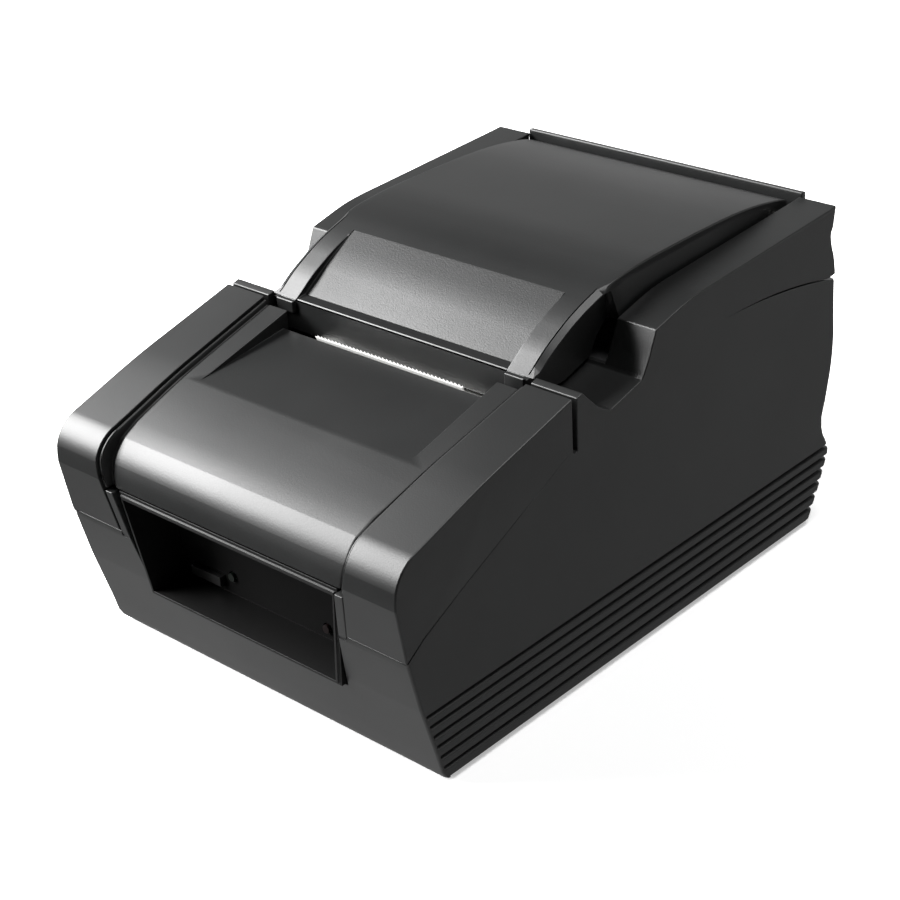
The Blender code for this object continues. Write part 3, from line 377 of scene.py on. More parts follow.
def side_band(side):
    """One side of the front cover: its top and nose, an inner edge along the panel, and the side's skirt."""
    outer, under, deep = cover_line(0.0), cover_line(WALL), cover_line(6.0)
    deep[-1] = under[-1]
    count = len(outer)
    straight = next(i for i, p in enumerate(outer) if p[0] < COVER_BEND[0] - 0.1)
    ys = [outer[i][0] for i in range(straight)]
    ys += [10.0 - 19.0 * i / (count - straight - 2) for i in range(count - straight - 1)]
    ys.append(under[-1][0])
    rows = []
    for top, low, edge, y in zip(outer, under, deep, ys):
        foot = (y, at(SKIRT_LINE, y))
        half = panel_half(top)
        inside = HALF_WIDTH - WALL
        corners = [(HALF_WIDTH, top), (half, top), (half, edge), (half + 2.0, edge), (half + 2.0, low),
                   (inside, low), (inside, foot), (HALF_WIDTH, foot)]
        rows.append([(side * x, p[0], p[1]) for x, p in corners])
    return skin("band", rows)


def front_bands(look):
    def radius(middle):
        if middle.z < at(SKIRT_LINE, middle.y) + 0.5:
            return 0.25 * (1.0 - skirt_share(middle.y))
        return 0.55 if abs(middle.x) > HALF_WIDTH - 0.5 else 0.25

    def crease(middle):
        return abs(middle.z - NOSE_FOOT[1][1]) < 0.1 and middle.y < NOSE_FOOT[1][0] + 0.1

    for side, name in ((-1, "front_cover_left"), (1, "front_cover_right")):
        band = side_band(side)
        soften(band, radius, crease=crease)
        place(band, name, look, stands_for=("front_cover",))
    tie = box((-48.8, 48.8), (24.0, 31.0), (72.8, 76.2))
    soften(tie, 0.3)
    place(tie, "front_cover_tie", look)


def ramp_height(y):
    run, rise = RAMP_REAR[0] - RAMP_FRONT[0], RAMP_REAR[1] - RAMP_FRONT[1]
    return RAMP_FRONT[1] + rise * (y - RAMP_FRONT[0]) / run


def nose_sink(i, line):
    """How far the panel's wider nose lies inside the cover's own curve, at a point of the line."""
    centre, radius = PANEL_NOSE_CENTRE, PANEL_NOSE_RADIUS
    y, z = line[i]
    way = sink_way(i, line)
    if y > centre[0] - radius * math.sin(math.radians(PANEL_NOSE_FROM)) - 1.0 or z < centre[1]:
        return 0.0
    away = Vector((y - centre[0], z - centre[1]))
    lead = away.dot(Vector(way))
    inside = lead ** 2 - away.length_squared + radius ** 2
    return max(-lead - math.sqrt(inside), 0.0) if inside > 0.0 and away.length > radius else 0.0


def sink_way(i, line):
    """Unit vector into the panel, across the line."""
    before, after = line[max(i - 1, 0)], line[min(i + 1, len(line) - 1)]
    along = Vector((after[0] - before[0], after[1] - before[1])).normalized()
    return (-along.y, along.x)


def centre_panel(look):
    """Recessed fascia with a bead and a groove along each side, and the paper ramp cut into it."""
    def side_shape(share):
        """Offsets from the opening's edge and insets; the groove and its shoulder widen over the nose."""
        return ((0.35, 8.0), (0.35, 1.3), (0.45, 1.02), (0.65, 0.84), (0.9, 0.8), (1.15, 0.95), (1.32, 1.25),
                (1.4, 1.6), (1.46, 2.2), (1.55, 2.35 + 0.4 * share), (2.0 + 0.2 * share, 2.45 + 0.4 * share),
                (2.35 + 0.4 * share, 2.6 + 0.3 * share), (2.42 + 0.5 * share, 2.06 + 0.3 * share),
                (2.6 + 0.7 * share, PANEL_DROP + 0.06 * share), (3.2 + 0.8 * share, PANEL_DROP))

    line = cover_line(PANEL_DROP, COVER_REAR - 0.3, PANEL_FOOT)
    rows = []
    for i, point in enumerate(line):
        half = panel_half(point)
        share = min(max((78.0 - point[1]) / 8.0, 0.0), 1.0)
        points = []
        way = sink_way(i, line)
        for off, inset in side_shape(share):
            rim = cover_line(inset, COVER_REAR - 0.3, PANEL_FOOT)[i]
            sunk = min(max((inset - 1.0) / 1.2, 0.0), 1.0) * nose_sink(i, line)
            points.append((half - off, rim[0] + sunk * way[0], rim[1] + sunk * way[1]))
        rows.append(points + [(-x, y, z) for x, y, z in points[::-1]])
    body = skin("panel", rows)
    scoop = [RAMP_FRONT, (70.0, ramp_height(70.0)), (70.0, 110.0), (19.5, 110.0)]
    cut(body, prism(scoop, "x", -RAMP_HALF, RAMP_HALF))
    floor = [(17.0, 76.0), (19.2, 78.6), (52.8, 82.9), (52.8, 79.2), (20.0, 74.6)]
    cut(body, box((-RAMP_HALF, RAMP_HALF), (RAMP_REAR[0], 70.0), (60.0, 110.0)))
    fuse(body, prism(floor, "x", -RAMP_HALF - 1.0, RAMP_HALF + 1.0))

    def radius(middle):
        return 0.3 if abs(abs(middle.x) - RAMP_HALF) < 0.3 else 0.25

    soften(body, radius, sharp=40.0)
    place(body, "centre_panel_moulding", look, stands_for=("centre_panel",))


def bay_rim(look, inside):
    """Pocket behind the front opening, with a stepped rim. Its deep faces take a darker, duller copy of the
    black plastic: painted shade in the pocket.
    """
    lean = (BAY_FACE_HIGH - BAY_FACE_LOW) / (BAY_HIGH - BAY_LOW)

    def loop(margin, top_margin, depth, y=None):
        low, high = BAY_LOW - margin, BAY_HIGH + top_margin
        corners = [(-BAY_HALF_LOW - margin, low), (BAY_HALF_LOW + margin, low),
                   (BAY_HALF_HIGH + margin, high), (-BAY_HALF_HIGH - margin, high)]
        if y is not None:
            return [(x, y, z) for x, z in corners]
        return [(x, BAY_FACE_LOW + lean * (z - BAY_LOW) + depth, z) for x, z in corners]

    rings = [loop(1.6, 2.35, 0.0, BAY_BACK), loop(1.6, 2.35, 0.75), loop(1.45, 2.2, 0.6),
             loop(0.95, 1.6, 0.6), loop(0.8, 1.3, 0.45), loop(0.8, 1.2, 0.1), loop(0.7, 1.1, 0.0),
             loop(0.12, 0.15, 0.0), loop(0.0, 0.0, 0.12), loop(0.0, 0.0, 0.0, BAY_BACK - 1.6)]
    body = skin("liner", rings)
    cut(body, box((-33.6, -20.4), (0.0, 9.0), (25.6, 29.4)))
    for centre in LED_PLACES:
        cut(body, disc("y", centre, 1.65, 0.0, 9.0))
    soften(body, 0.15, segments=2, sharp=50.0)
    # Faces deeper than the rim get the second material, a darker and duller copy of the black plastic:
    # painted shade in the pocket.
    for face in body.data.polygons:
        rim = BAY_FACE_LOW + lean * (face.center.z - BAY_LOW)
        face.material_index = 1 if face.center.y > rim + 0.8 else 0
    place(body, "bay_pocket", look, stands_for=("bay_liner",))
    body.data.materials.append(inside)


# The base

FRONT_FACE = ((0.0, 0.0), (-1.6, 1.2), (-3.6, 9.0), (-8.6, 26.0), (-12.5, 42.4), (-12.5, 120.0))
REAR_CURVE = ((175.4, 0.0), (176.6, 2.1), (178.7, 6.1), (180.9, 10.0), (182.7, 14.1), (184.2, 17.5),
              (185.5, 21.1), (184.0, 25.0), (182.2, 28.0), (181.2, 31.0), (181.0, 34.8), (182.7, 40.3),
              (185.3, 52.3), (185.8, 62.0), (185.2, 70.0), (184.5, 82.0), (184.4, 120.0))
REAR_LINE = smooth_line(REAR_CURVE, 4)
REAR_CORNER, FRONT_CORNER = 2.4, 0.9
GROOVES = (4.1, 8.0, 11.9, 15.7, 19.4, 23.1)
GROOVE_SHAPE = ((-1.2, 0.0), (-1.0, 0.12), (-0.75, 0.5), (-0.45, 1.2), (-0.1, 1.55), (0.35, 1.55),
                (0.55, 1.3), (0.62, 0.3), (0.75, 0.08), (0.9, 0.0))
SIDE_LEVELS = (25.0, 26.5, 28.0, 31.0, 34.8, 37.5, 40.3, 44.0, 48.0, 52.3, 57.0, 62.0, 66.0, 70.0, 76.0, 82.0,
               95.0)
# Rear ports: centre X and Z, half width, half height
PORTS = ((-34.0, 15.2, 5.0, 5.9), (-13.0, 15.4, 6.4, 6.1), (9.0, 16.2, 7.0, 6.9), (33.0, 15.8, 10.0, 6.8))
UNDER_X, SCREW_YS, FOOT_YS = (-57.0, 57.0), (34.0, 146.0), (16.0, 164.0)
POST_X, POST_YS = (-26.0, 26.0), (50.0, 79.0)


def base_section(z, inset):
    """A level outline of the base: round rear corners, and nearly square front ones."""
    half = HALF_WIDTH - inset
    front = at(FRONT_FACE, z, 1)
    rear = at(REAR_LINE, z, 1) - inset
    edge = FRONT_CORNER
    points = arc((half - REAR_CORNER, rear - REAR_CORNER), REAR_CORNER, 0.0, 90.0, 6)
    points += arc((REAR_CORNER - half, rear - REAR_CORNER), REAR_CORNER, 90.0, 180.0, 6)
    points.append((-half, front + edge + 0.4))
    points += arc((edge - HALF_WIDTH, front + edge), edge, 180.0, 270.0, 3)
    points += arc((HALF_WIDTH - edge, front + edge), edge, 270.0, 360.0, 3)
    points.append((half, front + edge + 0.4))
    return [(x, y, z) for x, y in points]


def parting_line(offset, from_y, to_y, steps):
    """The curved joint between base and upper housing, moved up by an offset that may depend on y."""
    points = []
    for i in range(steps + 1):
        y = from_y + (to_y - from_y) * i / steps
        gap = offset(y) if callable(offset) else offset
        rise = math.sqrt(PARTING_RADIUS ** 2 - (y - PARTING_CENTRE[0]) ** 2)
        points.append((y, PARTING_CENTRE[1] + rise + gap))
    return points


PARTING_FRONT = parting_line(0.0, 86.2, 90.0, 1)[0][1]


def seam_share(y):
    """How far the joint between base and upper housing has opened, which it does towards the rear."""
    return min(max((y - 128.0) / 24.0, 0.0), 1.0)


def skirt_share(y):
    """How far the joint under the front cover's skirt has closed, which it does towards the rear."""
    return min(max((y + 4.0) / 34.0, 0.0), 1.0)


def skirt_gap(y):
    return 0.36 - 0.33 * skirt_share(y)


def base_shell(look):
    """The hollow, ribbed lower housing, with the bay, notches, ports, screw holes and foot pockets."""
    levels = [(0.0, 0.6), (0.25, 0.25), (0.6, 0.0)]
    for centre in GROOVES:
        levels += [(centre + dz, depth) for dz, depth in GROOVE_SHAPE]
    levels += [(z, 0.0) for z in SIDE_LEVELS]
    body = skin("base", [base_section(z, inset) for z, inset in levels])
    top = [(-30.0, -5.0), (-30.0, 42.4), (-10.05, 42.4), (-10.05, 44.2)]
    skirt = [-6.0 + 61.2 * i / 24 for i in range(25)]
    top += [(y, at(SKIRT_LINE, y) - skirt_gap(y)) for y in skirt]
    top += [(COVER_REAR, 74.3), (57.0, 74.3)]
    top += [NOTCH[0], *smooth_line(NOTCH[1:6], 4), NOTCH[6]]
    top += parting_line(lambda y: -0.3 * seam_share(y), 86.2, 186.5, 30)
    top += [(200.0, 84.0), (200.0, -5.0)]
    keep(body, prism(top, "x", -HALF_WIDTH - 5.0, HALF_WIDTH + 5.0))
    hollow = [(2.6, 2.4), (-1.2, 9.6), (-6.2, 26.6), (-10.05, 42.4), (-10.05, 120.0), (182.0, 120.0),
              (182.0, 60.0), (178.0, 34.0), (171.8, 31.0), (171.8, 2.4)]
    cut(body, prism(hollow, "x", -HALF_WIDTH + WALL, HALF_WIDTH - WALL))
    curve = smooth_line(NOTCH[1:6], 4)
    block = [NOTCH[0], *curve, (72.6, 81.2), (72.6, 79.1), (71.5, 78.8), (69.6, 79.2), (65.6, 81.6),
             (61.7, 85.2), (59.2, 87.5), (59.2, 76.0), (57.0, 76.0)]
    floor = [NOTCH[5], NOTCH[6], (86.2, PARTING_FRONT - 0.02), (87.4, PARTING_FRONT), (87.4, 82.3),
             (71.6, 78.8)]
    for side in (-1, 1):
        fuse(body, prism(block, "x", *sorted((side * (LID_HALF + 0.6), side * (HALF_WIDTH - 0.6)))))
        fuse(body, prism(floor, "x", *sorted((side * 44.0, side * (HALF_WIDTH - 0.7)))))
        inner = side * 40.0
        outline = [(inner, 41.0), (side * 44.9, 41.0), (side * 45.2, 42.8), (side * 47.25, 56.2),
                   (inner, 56.2)]
        post = prism(outline, "y", -16.0, -9.5)
        face = [(-20.0, 60.0), (-20.0, 40.0), (-11.9, 40.0), (-12.45, 42.6), (-14.7, 56.2), (-14.7, 60.0)]
        fuse(body, cut(post, prism(face, "x", -50.0, 50.0)))
        under_skirt = at(SKIRT_LINE, -10.0) - skirt_gap(-10.0)
        corner = [(-12.3, 42.0), (-12.3, 42.6), (-10.0, under_skirt), (-10.0, 42.0)]
        low, high = sorted((side * (HALF_WIDTH - WALL + 0.05), side * (HALF_WIDTH - 0.02)))
        fuse(body, prism(corner, "x", low, high))
    margin = 1.6 + GAP
    rise = (BAY_HALF_HIGH - BAY_HALF_LOW) / (BAY_HIGH - BAY_LOW)
    half = BAY_HALF_LOW + margin
    opening = [(-half, BAY_LOW - margin), (half, BAY_LOW - margin), (half + rise * 38.0, 62.0),
               (-half - rise * 38.0, 62.0)]
    cut(body, prism(opening, "y", -20.0, 4.0))
    cut(body, box((-46.0, 46.0), (174.2, 190.0), (5.0, 28.0)))
    for x, z, half_wide, half_high in PORTS:
        cut(body, box((x - half_wide, x + half_wide), (168.0, 180.0), (z - half_high, z + half_high)))
    fuse(body, box((-52.8, 52.8), (179.8, 182.2), (78.0, 86.4)))
    for x in UNDER_X:
        for y in SCREW_YS:
            cut(body, disc("z", (x, y), 3.2, -1.0, 6.0))
        for y in FOOT_YS:
            pocket = []
            for sx, sy, start in ((1, 1, 0), (-1, 1, 90), (-1, -1, 180), (1, -1, 270)):
                pocket += arc((x + sx * 0.95, y + sy * 4.95), 4.4, start, start + 90, 5)
            cut(body, prism(pocket, "z", -1.0, 0.9))
    for x in POST_X:
        for y in POST_YS:
            fuse(body, disc("z", (x, y), 3.6, 1.5, 31.6, 20))

    def radius(middle):
        if middle.z < 25.0 and abs(middle.x) > 60.0 or middle.z < 1.0:
            return 0.0
        if middle.y < -9.0 and middle.z > 41.0 and abs(middle.x) > 60.0:
            return 0.0
        if middle.y > 86.0 and middle.z > 80.0:
            return 0.3 * seam_share(middle.y)
        if abs(middle.z - at(SKIRT_LINE, middle.y)) < 0.6 and -9.0 < middle.y < COVER_REAR + 0.5:
            return 0.3 * (1.0 - skirt_share(middle.y))
        return 0.3

    soften(body, radius, segments=2, sharp=35.0)
    place(body, "base_shell", look, stands_for=("base",))


# The upper housing

def rails(look):
    """The upper housing: a hollow rail on each side, joined by the ridge bar behind the lid."""
    top = smooth_line(((93.4, 97.5), (108.1, 100.7), (125.0, 101.8), (142.2, 102.7), (177.7, 104.5),
                       (182.9, 104.9)), 5)
    front = smooth_line(((86.2, PARTING_FRONT), (87.6, 87.6), (89.0, 90.2), (90.6, 93.8), (92.0, 97.1)), 4)
    rear = smooth_line(((181.8, 98.4), (180.8, 96.6), (181.4, 93.0), (182.9, 88.9), (184.1, 83.2)), 4)
    lower = parting_line(lambda y: 0.12 * seam_share(y), 186.5, 86.2, 30)
    lower = [p for p in lower if p[0] < 181.8]
    outline = [*front, *top, *rear[:-1], (184.05, 82.8), (182.3, 82.6), *lower[:-1]]
    inner = [(88.6, 70.0), (88.6, 86.0), (91.0, 90.4), (93.8, 95.2), (108.4, 98.4), (142.3, 100.4),
             (177.7, 102.2), (179.6, 102.4), (179.4, 99.4), (178.4, 96.2), (180.6, 88.9), (181.8, 83.0),
             (181.8, 70.0)]
    body = None
    for side in (-1, 1):
        rail = prism(outline, "x", *sorted((side * RAIL_INNER, side * HALF_WIDTH)))
        cut(rail, prism(inner, "x", *sorted((side * (RAIL_INNER + WALL), side * (HALF_WIDTH - WALL)))))
        body = fuse(body, rail) if body else rail
    wall = [(183.2, 105.9), (183.5, 106.2), (185.1, 106.0), (185.4, 105.7), (185.6, 84.0), (183.2, 84.0)]
    fuse(body, prism(wall, "x", -RAIL_INNER - 0.8, RAIL_INNER + 0.8))
    fuse(body, box((-RAIL_INNER - 6.0, RAIL_INNER + 6.0), (180.9, 184.5), (84.0, 86.2)))
    web = [(94.9, 83.4), (94.9, 94.8), (97.2, 94.8), (97.2, 83.4)]
    for side in (-1, 1):
        fuse(body, prism(web, "x", *sorted((side * 48.2, side * (RAIL_INNER + 1.0)))))
    cut(body, disc("x", HINGE, PIN_HOLE, -60.0, 60.0))

    def radius(middle):
        if middle.z < at(lower, middle.y) + 0.4 and middle.y < 183.0:
            return 0.3 * seam_share(middle.y)
        if middle.z < 83.6 and middle.y > 181.0:
            return 0.0
        if middle.y > 180.5 and abs(middle.x) > HALF_WIDTH - 0.1:
            return 1.1
        return 0.35

    soften(body, radius, sharp=30.0)
    place(body, "upper_housing_rails", look, stands_for=("upper_housing",))


# The lid

def side_draft(side, height):
    """A wedge along the lid's side, from the arm to the rear: its outer wall leans out below the crown."""
    rings = []
    for i in range(21):
        y = 92.95 + (179.6 - 92.95) * i / 20
        foot = max(95.4 + (y - 94.6) * 0.0233, 97.2 + (y - 172.0) * 0.56)
        top = max(height(y) - 1.3, foot + 0.1)
        out = LID_HALF + 2.1 * min((top - foot) / 10.0, 1.0)
        lag = max(1.5 - 0.1 * (y - 92.95), 0.0)
        rings.append([(side * (LID_HALF - 0.2), y, top), (side * (LID_HALF - 0.2), y + lag, foot),
                      (side * out, y + lag, foot)])
    return skin("draft", rings)


def lid_shell(look, grained):
    """The lid: crown, inset and lip, two chamfered arms, ears for the platen and knuckles for the hinge."""
    top = smooth_line(LID_TOP, 6)

    def height(y):
        return at(top, y)

    def along(offset, from_y, to_y, steps=18):
        """Points under the lid's top line, by an offset that depends on y."""
        ys = [from_y + (to_y - from_y) * i / steps for i in range(steps + 1)]
        return [(y, height(y) - (offset(y) if callable(offset) else offset)) for y in ys]

    outline = [(LID_LIP, 80.4), (LID_LIP, 90.5), *top, (180.4, 101.9), (172.0, 97.2), (94.6, 95.4),
               (89.6, 91.4), (86.6, 86.2), (75.0, 82.9), (66.0, 83.2), (64.0, 80.4)]
    body = prism(outline, "x", -LID_HALF, LID_HALF)
    inside = [(61.0, 70.0), (61.0, 87.2), (64.6, 88.6), (85.0, 101.3), (93.6, 103.9), (105.4, 105.4),
              (118.0, 105.9), (146.0, 105.9), (162.0, 105.0), (175.5, 103.0), (178.0, 102.4), (182.0, 101.4),
              (182.0, 70.0)]
    cut(body, prism(inside, "x", -45.9, 45.9))
    inset = [*smooth_line(((62.6, 91.0), (73.4, 98.2), (84.6, 104.15), (92.0, 107.5)), 4), (92.0, 112.0),
             (56.0, 112.0), (56.0, 87.4), (LID_LIP, 90.1), (LID_LIP + 0.5, 90.65)]
    cut(body, prism(inset, "x", -RAMP_HALF, RAMP_HALF))

    def fading(depth):
        return lambda y: depth * min(max((90.5 - y) / 14.0, 0.0), 1.0)

    for side in (-1, 1):
        foot = [(57.4, 86.5), (57.4, 90.0), (57.7, 90.2), (59.6, 90.4), (60.4, 88.0), (60.4, 86.5)]
        fuse(body, prism(foot, "x", *sorted((side * (RAMP_HALF + 0.3), side * (LID_HALF - 1.3)))))
        groove = [*along(fading(1.1), 58.0, 90.5), (90.5, 112.0), (58.0, 112.0)]
        cut(body, prism(groove, "x", *sorted((side * 48.3, side * 48.75))))
        chamfer = []
        for y, z in along(0.0, 57.0, 94.0, 16):
            start = LID_HALF - 1.8 * min(max((94.0 - y) / 5.0, 0.02), 1.0)
            end, drop = LID_HALF + 1.0, 0.65 * (LID_HALF + 1.0 - start)
            chamfer.append([(side * start, y, z + 0.02), (side * end, y, z - drop), (side * end, y, z + 4.0),
                            (side * start, y, z + 4.0)])
        cut(body, skin("chamfer", chamfer))
        pit = [*along(lambda y: 1.9, 57.0, 92.9), (94.6, 95.0), (94.6, 70.0), (57.0, 70.0)]
        cut(body, prism(pit, "x", *sorted((side * 48.1, side * (LID_HALF + 1.0)))))
        low, high = sorted((side * 38.0, side * 40.4))
        ear = [(60.0, 89.4), (60.0, 76.0), *arc(PLATEN, 4.9, 180.0, 360.0, 12), (75.0, 90.0), (75.0, 96.4),
               (64.6, 89.6)]
        fuse(body, prism(ear, "x", low, high))
        low, high = sorted((side * 40.0, side * (LID_HALF - 1.0)))
        knuckle = disc("x", HINGE, 3.5, low, high, 24)
        neck = [(174.4, 100.6), (179.4, 100.6), (179.4, 103.4), (174.4, 104.6)]
        fuse(knuckle, prism(neck, "x", low, high))
        fuse(body, knuckle)
        fuse(body, side_draft(side, height))
    cut(body, disc("x", HINGE, PIN_HOLE, -60.0, 60.0))
    cut(body, disc("x", PLATEN, PLATEN_HOLE, -42.0, 42.0))

    def radius(middle):
        if abs(middle.x) > LID_HALF - 0.3 and middle.z > height(middle.y) - 0.5:
            return 0.5
        if abs(middle.x) > LID_HALF - 0.5 and middle.y > 92.0:
            return 0.0
        if abs(middle.x) > 47.8 and middle.z > height(middle.y) - 1.7:
            return 0.0
        if middle.y < LID_LIP + 0.8 and middle.z > 89.9 and abs(middle.x) < RAMP_HALF - 0.5:
            return 0.1
        return 0.22

    def crease(middle):
        return any(abs(middle.y - y) < 0.4 and abs(middle.z - z) < 0.4 for y, z in LID_CREASES)

    soften(body, radius, sharp=30.0, crease=crease, stations=LID_STATIONS)
    for face in body.data.polygons:
        tilted = 0.35 < -face.normal.y < 0.62 and face.normal.z > 0.7
        face.material_index = 1 if tilted and abs(face.center.x) < RAMP_HALF and face.center.y < 88.0 else 0
    place(body, "lid_shell", look, "lid", ("lid",))
    body.data.materials.append(grained)


# Paper

def torn_paper(look):
    """The end of the sheet in the slot, with a torn edge."""
    shape = bmesh.new()
    count = int(PAPER_WIDTH / TOOTH_PITCH * 2)
    rows = []
    for i in range(count + 1):
        x = -PAPER_WIDTH / 2 + PAPER_WIDTH * i / count
        tip = 0.0 if i % 2 else TOOTH_DEPTH
        end = (PAPER_LINE[-1][0] + 0.35 * tip, PAPER_LINE[-1][1] - 0.85 * tip)
        rows.append([shape.verts.new((x, y, z)) for y, z in [*PAPER_LINE[:-1], end]])
    for first, second in zip(rows, rows[1:]):
        for k in range(3):
            shape.faces.new((first[k], second[k], second[k + 1], first[k + 1]))
    sheet = to_object("paper", shape)
    step = sheet.modifiers.new("thickness", "SOLIDIFY")
    step.thickness, step.offset = PAPER_THICKNESS * MM, 0.0
    place(sheet, "paper_end", look)


# Building

def finishes():
    """A material for each of the record's slots, and three more for the moulded pieces."""
    return {
        "black_abs": moulded("black_plastic", (0.0055, 0.0058, 0.0058), 0.42, 0.5, 0.022, 0.03,
                             specular=0.42),
        "grained_abs": moulded("grained_black_plastic", (0.0065, 0.0068, 0.0068), 0.44, 0.45, 0.045, 0.03,
                               specular=0.34),
        "bay_edge": moulded("bay_edge_plastic", (0.005, 0.005, 0.005), 0.5, 0.5, 0.02, 0.04, specular=0.22),
        # Darker, duller copy of the black plastic for the inside of the bay: painted shade in the pocket.
        "bay_abs": moulded("bay_shade_plastic", (0.002, 0.002, 0.002), 0.6, specular=0.12),
        "inner_abs": moulded("inner_plastic", (0.025, 0.025, 0.026), 0.5, 0.6),
        "rubber": moulded("black_rubber", (0.016, 0.016, 0.016), 0.75, 0.5, 0.02),
        "steel": moulded("plain_steel", (0.60, 0.60, 0.58), 0.28, 0.25, 0.004, 0.06, 1.0),
        "motor_steel": moulded("plated_steel", (0.38, 0.38, 0.37), 0.34, 0.3, 0.004, 0.06, 1.0),
        "gear_pom": moulded("white_pom", (0.72, 0.71, 0.67), 0.42, 0.8),
        "cable_film": moulded("cable_film", (0.62, 0.64, 0.68), 0.38, 1.0),
        "zinc_plate": moulded("zinc_sheet", (0.55, 0.56, 0.56), 0.36, 1.2, 0.006, 0.08, 1.0),
        "head_ceramic": moulded("glazed_ceramic", (0.68, 0.64, 0.52), 0.25, 0.8, 0.004),
        "aluminium": moulded("plain_aluminium", (0.70, 0.70, 0.70), 0.35, 0.4, 0.006, 0.06, 1.0),
        "paper": moulded("thermal_paper", (0.88, 0.88, 0.86), 0.8, 0.25, 0.006, 0.04, tint=0.02),
        "card_core": moulded("card", (0.45, 0.33, 0.20), 0.85, 0.6, 0.03),
        "board_green": moulded("board_coating", (0.015, 0.13, 0.055), 0.35, 1.5),
        "rocker_plastic": moulded("rocker_gloss", (0.014, 0.014, 0.014), 0.28, 0.8, 0.004),
        "button_plastic": moulded("button_grey", (0.010, 0.010, 0.010), 0.4, 0.4),
        "lens_green": moulded("smoked_green_lens", (0.002, 0.005, 0.003), 0.3, 1.0, 0.002),
        "lens_red": moulded("smoked_red_lens", (0.005, 0.002, 0.002), 0.3, 1.0, 0.002),
        "screw_steel": moulded("screw_steel", (0.35, 0.35, 0.36), 0.32, 0.3, 0.004, 0.06, 1.0),
    }


def dress_cad(looks):
    """Every CAD node, shown or replaced, gets its slot's finish, joined corners and a narrow bevel."""
    slots = {part["node"]: part["material_slot"] for part in frame["record"]["subparts"]}
    for name, item in frame["nodes"].items():
        item.data.materials.clear()
        item.data.materials.append(looks[slots[name]])
        weld = item.modifiers.new("weld", "WELD")
        weld.merge_threshold = CAD_WELD * MM
        edges = item.modifiers.new("edges", "BEVEL")
        edges.limit_method, edges.angle_limit = "ANGLE", math.radians(CAD_SHARP_DEGREES)
        edges.width, edges.segments, edges.use_clamp_overlap = CAD_BEVEL * MM, 2, True


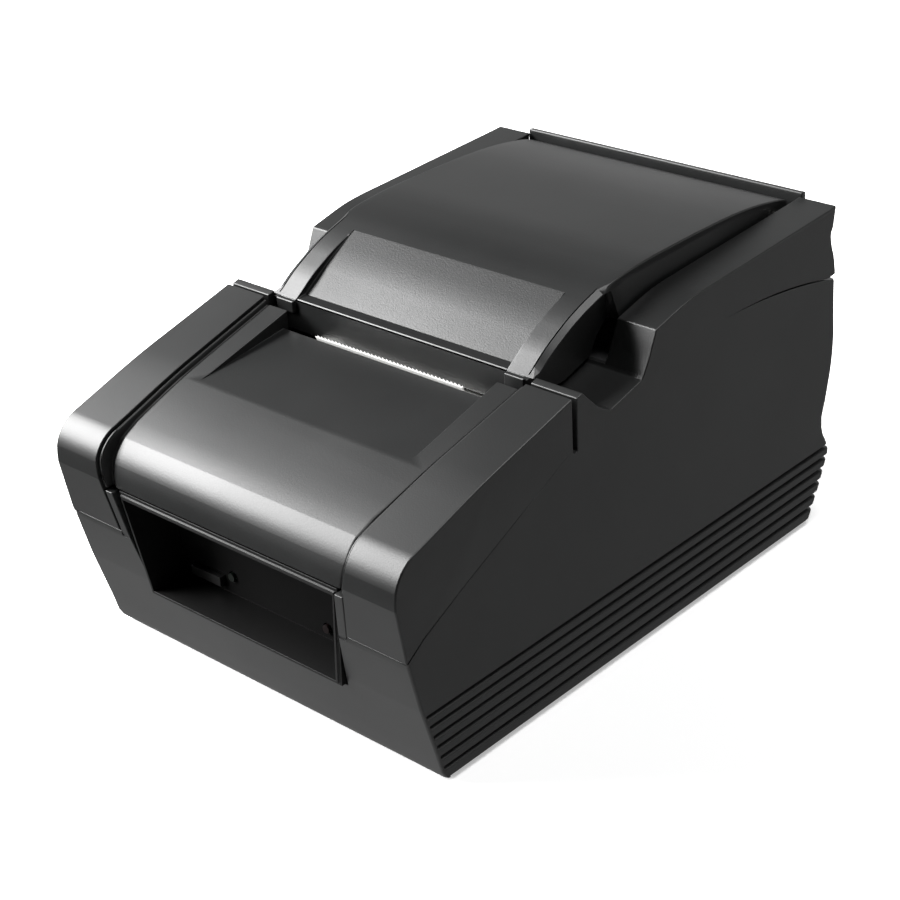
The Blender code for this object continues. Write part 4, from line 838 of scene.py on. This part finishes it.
def studio(floor_look):
    """Pale floor, a world that lights the sides, and two soft lamps."""
    plane = bpy.data.meshes.new("floor")
    far = FLOOR_HALF
    plane.from_pydata([(-far, -far, 0), (far, -far, 0), (far, far, 0), (-far, far, 0)], [], [(0, 1, 2, 3)])
    floor = bpy.data.objects.new("floor", plane)
    bpy.context.scene.collection.objects.link(floor)
    plane.materials.append(floor_look)
    floor.visible_glossy = False
    world = bpy.data.worlds.new("studio")
    bpy.context.scene.world = world
    world.use_nodes = True
    tree = world.node_tree
    split = node(tree, "ShaderNodeSeparateXYZ")
    tree.links.new(node(tree, "ShaderNodeTexCoord").outputs["Generated"], split.inputs["Vector"])

    def levels(source, stops):
        """Grey levels along one coordinate of the direction, from -1 to 1."""
        share = node(tree, "ShaderNodeMapRange")
        set_input(share, "From Min", -1.0)
        tree.links.new(source, share.inputs["Value"])
        ramp = node(tree, "ShaderNodeValToRGB")
        while len(ramp.color_ramp.elements) < len(stops):
            ramp.color_ramp.elements.new(0.5)
        for element, (at_level, level) in zip(ramp.color_ramp.elements, stops):
            element.position = (at_level + 1.0) / 2.0
            element.color = (level, level, level, 1.0)
        tree.links.new(share.outputs["Result"], ramp.inputs["Fac"])
        return ramp.outputs["Color"]

    sides = node(tree, "ShaderNodeMix", data_type="RGBA")
    tree.links.new(levels(split.outputs["Y"], ((-0.3, 0.0), (0.3, 1.0))), sides.inputs[0])
    tree.links.new(levels(split.outputs["Z"], FRONT_LIGHT), sides.inputs[6])
    tree.links.new(levels(split.outputs["Z"], REAR_LIGHT), sides.inputs[7])
    seen = node(tree, "ShaderNodeMix", data_type="RGBA")
    seen.inputs[7].default_value = (BACKDROP_LEVEL, BACKDROP_LEVEL, BACKDROP_LEVEL, 1.0)
    tree.links.new(node(tree, "ShaderNodeLightPath").outputs["Is Camera Ray"], seen.inputs[0])
    tree.links.new(sides.outputs[2], seen.inputs[6])
    tree.links.new(seen.outputs[2], tree.nodes["Background"].inputs["Color"])
    set_input(tree.nodes["Background"], "Strength", 1.0)
    lamp("softbox", (-1.08, -0.60, 0.88), LIT_POINT, size=(1.2, 0.6), power=98.0, along=(0.2, 0.9, 0.5))
    lamp("overhead", (0.30, 0.24, 1.2), LIT_POINT, size=(0.5, 0.5), power=10.0, along=(1.0, 0.0, 0.0))


def lamp(name, where, target, size, power, along):
    """A rectangular soft light that faces its target, with its long side along a direction."""
    light = bpy.data.lights.new(name, "AREA")
    light.shape = "RECTANGLE"
    light.size, light.size_y = size
    light.energy = power
    item = bpy.data.objects.new(name, light)
    back = (Vector(where) - Vector(target)).normalized()
    side = (Vector(along) - back * back.dot(Vector(along))).normalized()
    turn = Matrix((side, back.cross(side), back)).transposed().to_4x4()
    item.matrix_world = Matrix.Translation(where) @ turn
    bpy.context.scene.collection.objects.link(item)


def camera():
    """Looks from the front right and above, with a slight roll."""
    azimuth, elevation, roll = CAMERA_AZIMUTH, CAMERA_ELEVATION, CAMERA_ROLL
    right0 = Vector((math.cos(azimuth), math.sin(azimuth), 0.0))
    back = Vector((math.sin(azimuth) * math.cos(elevation), -math.cos(azimuth) * math.cos(elevation),
                   math.sin(elevation)))
    up0 = back.cross(right0)
    right = right0 * math.cos(roll) + up0 * math.sin(roll)
    up = up0 * math.cos(roll) - right0 * math.sin(roll)
    data = bpy.data.cameras.new("camera")
    data.lens, data.sensor_width = CAMERA_LENS, CAMERA_SENSOR
    item = bpy.data.objects.new("camera", data)
    rotation = Matrix((right, up, back)).transposed().to_4x4()
    item.matrix_world = Matrix.Translation(CAMERA_PLACE) @ rotation
    bpy.context.scene.collection.objects.link(item)
    bpy.context.scene.camera = item


bpy.context.scene.view_settings.view_transform = "Standard"
camera()
LOOKS = finishes()
dress_cad(LOOKS)
studio(card("floor_card", FLOOR_LEVEL, FLOOR_GLOW))
front_bands(LOOKS["black_abs"])
centre_panel(LOOKS["black_abs"])
bay_rim(LOOKS["bay_edge"], LOOKS["bay_abs"])
base_shell(LOOKS["black_abs"])
rails(LOOKS["black_abs"])
lid_shell(LOOKS["black_abs"], LOOKS["grained_abs"])
torn_paper(LOOKS["paper"])
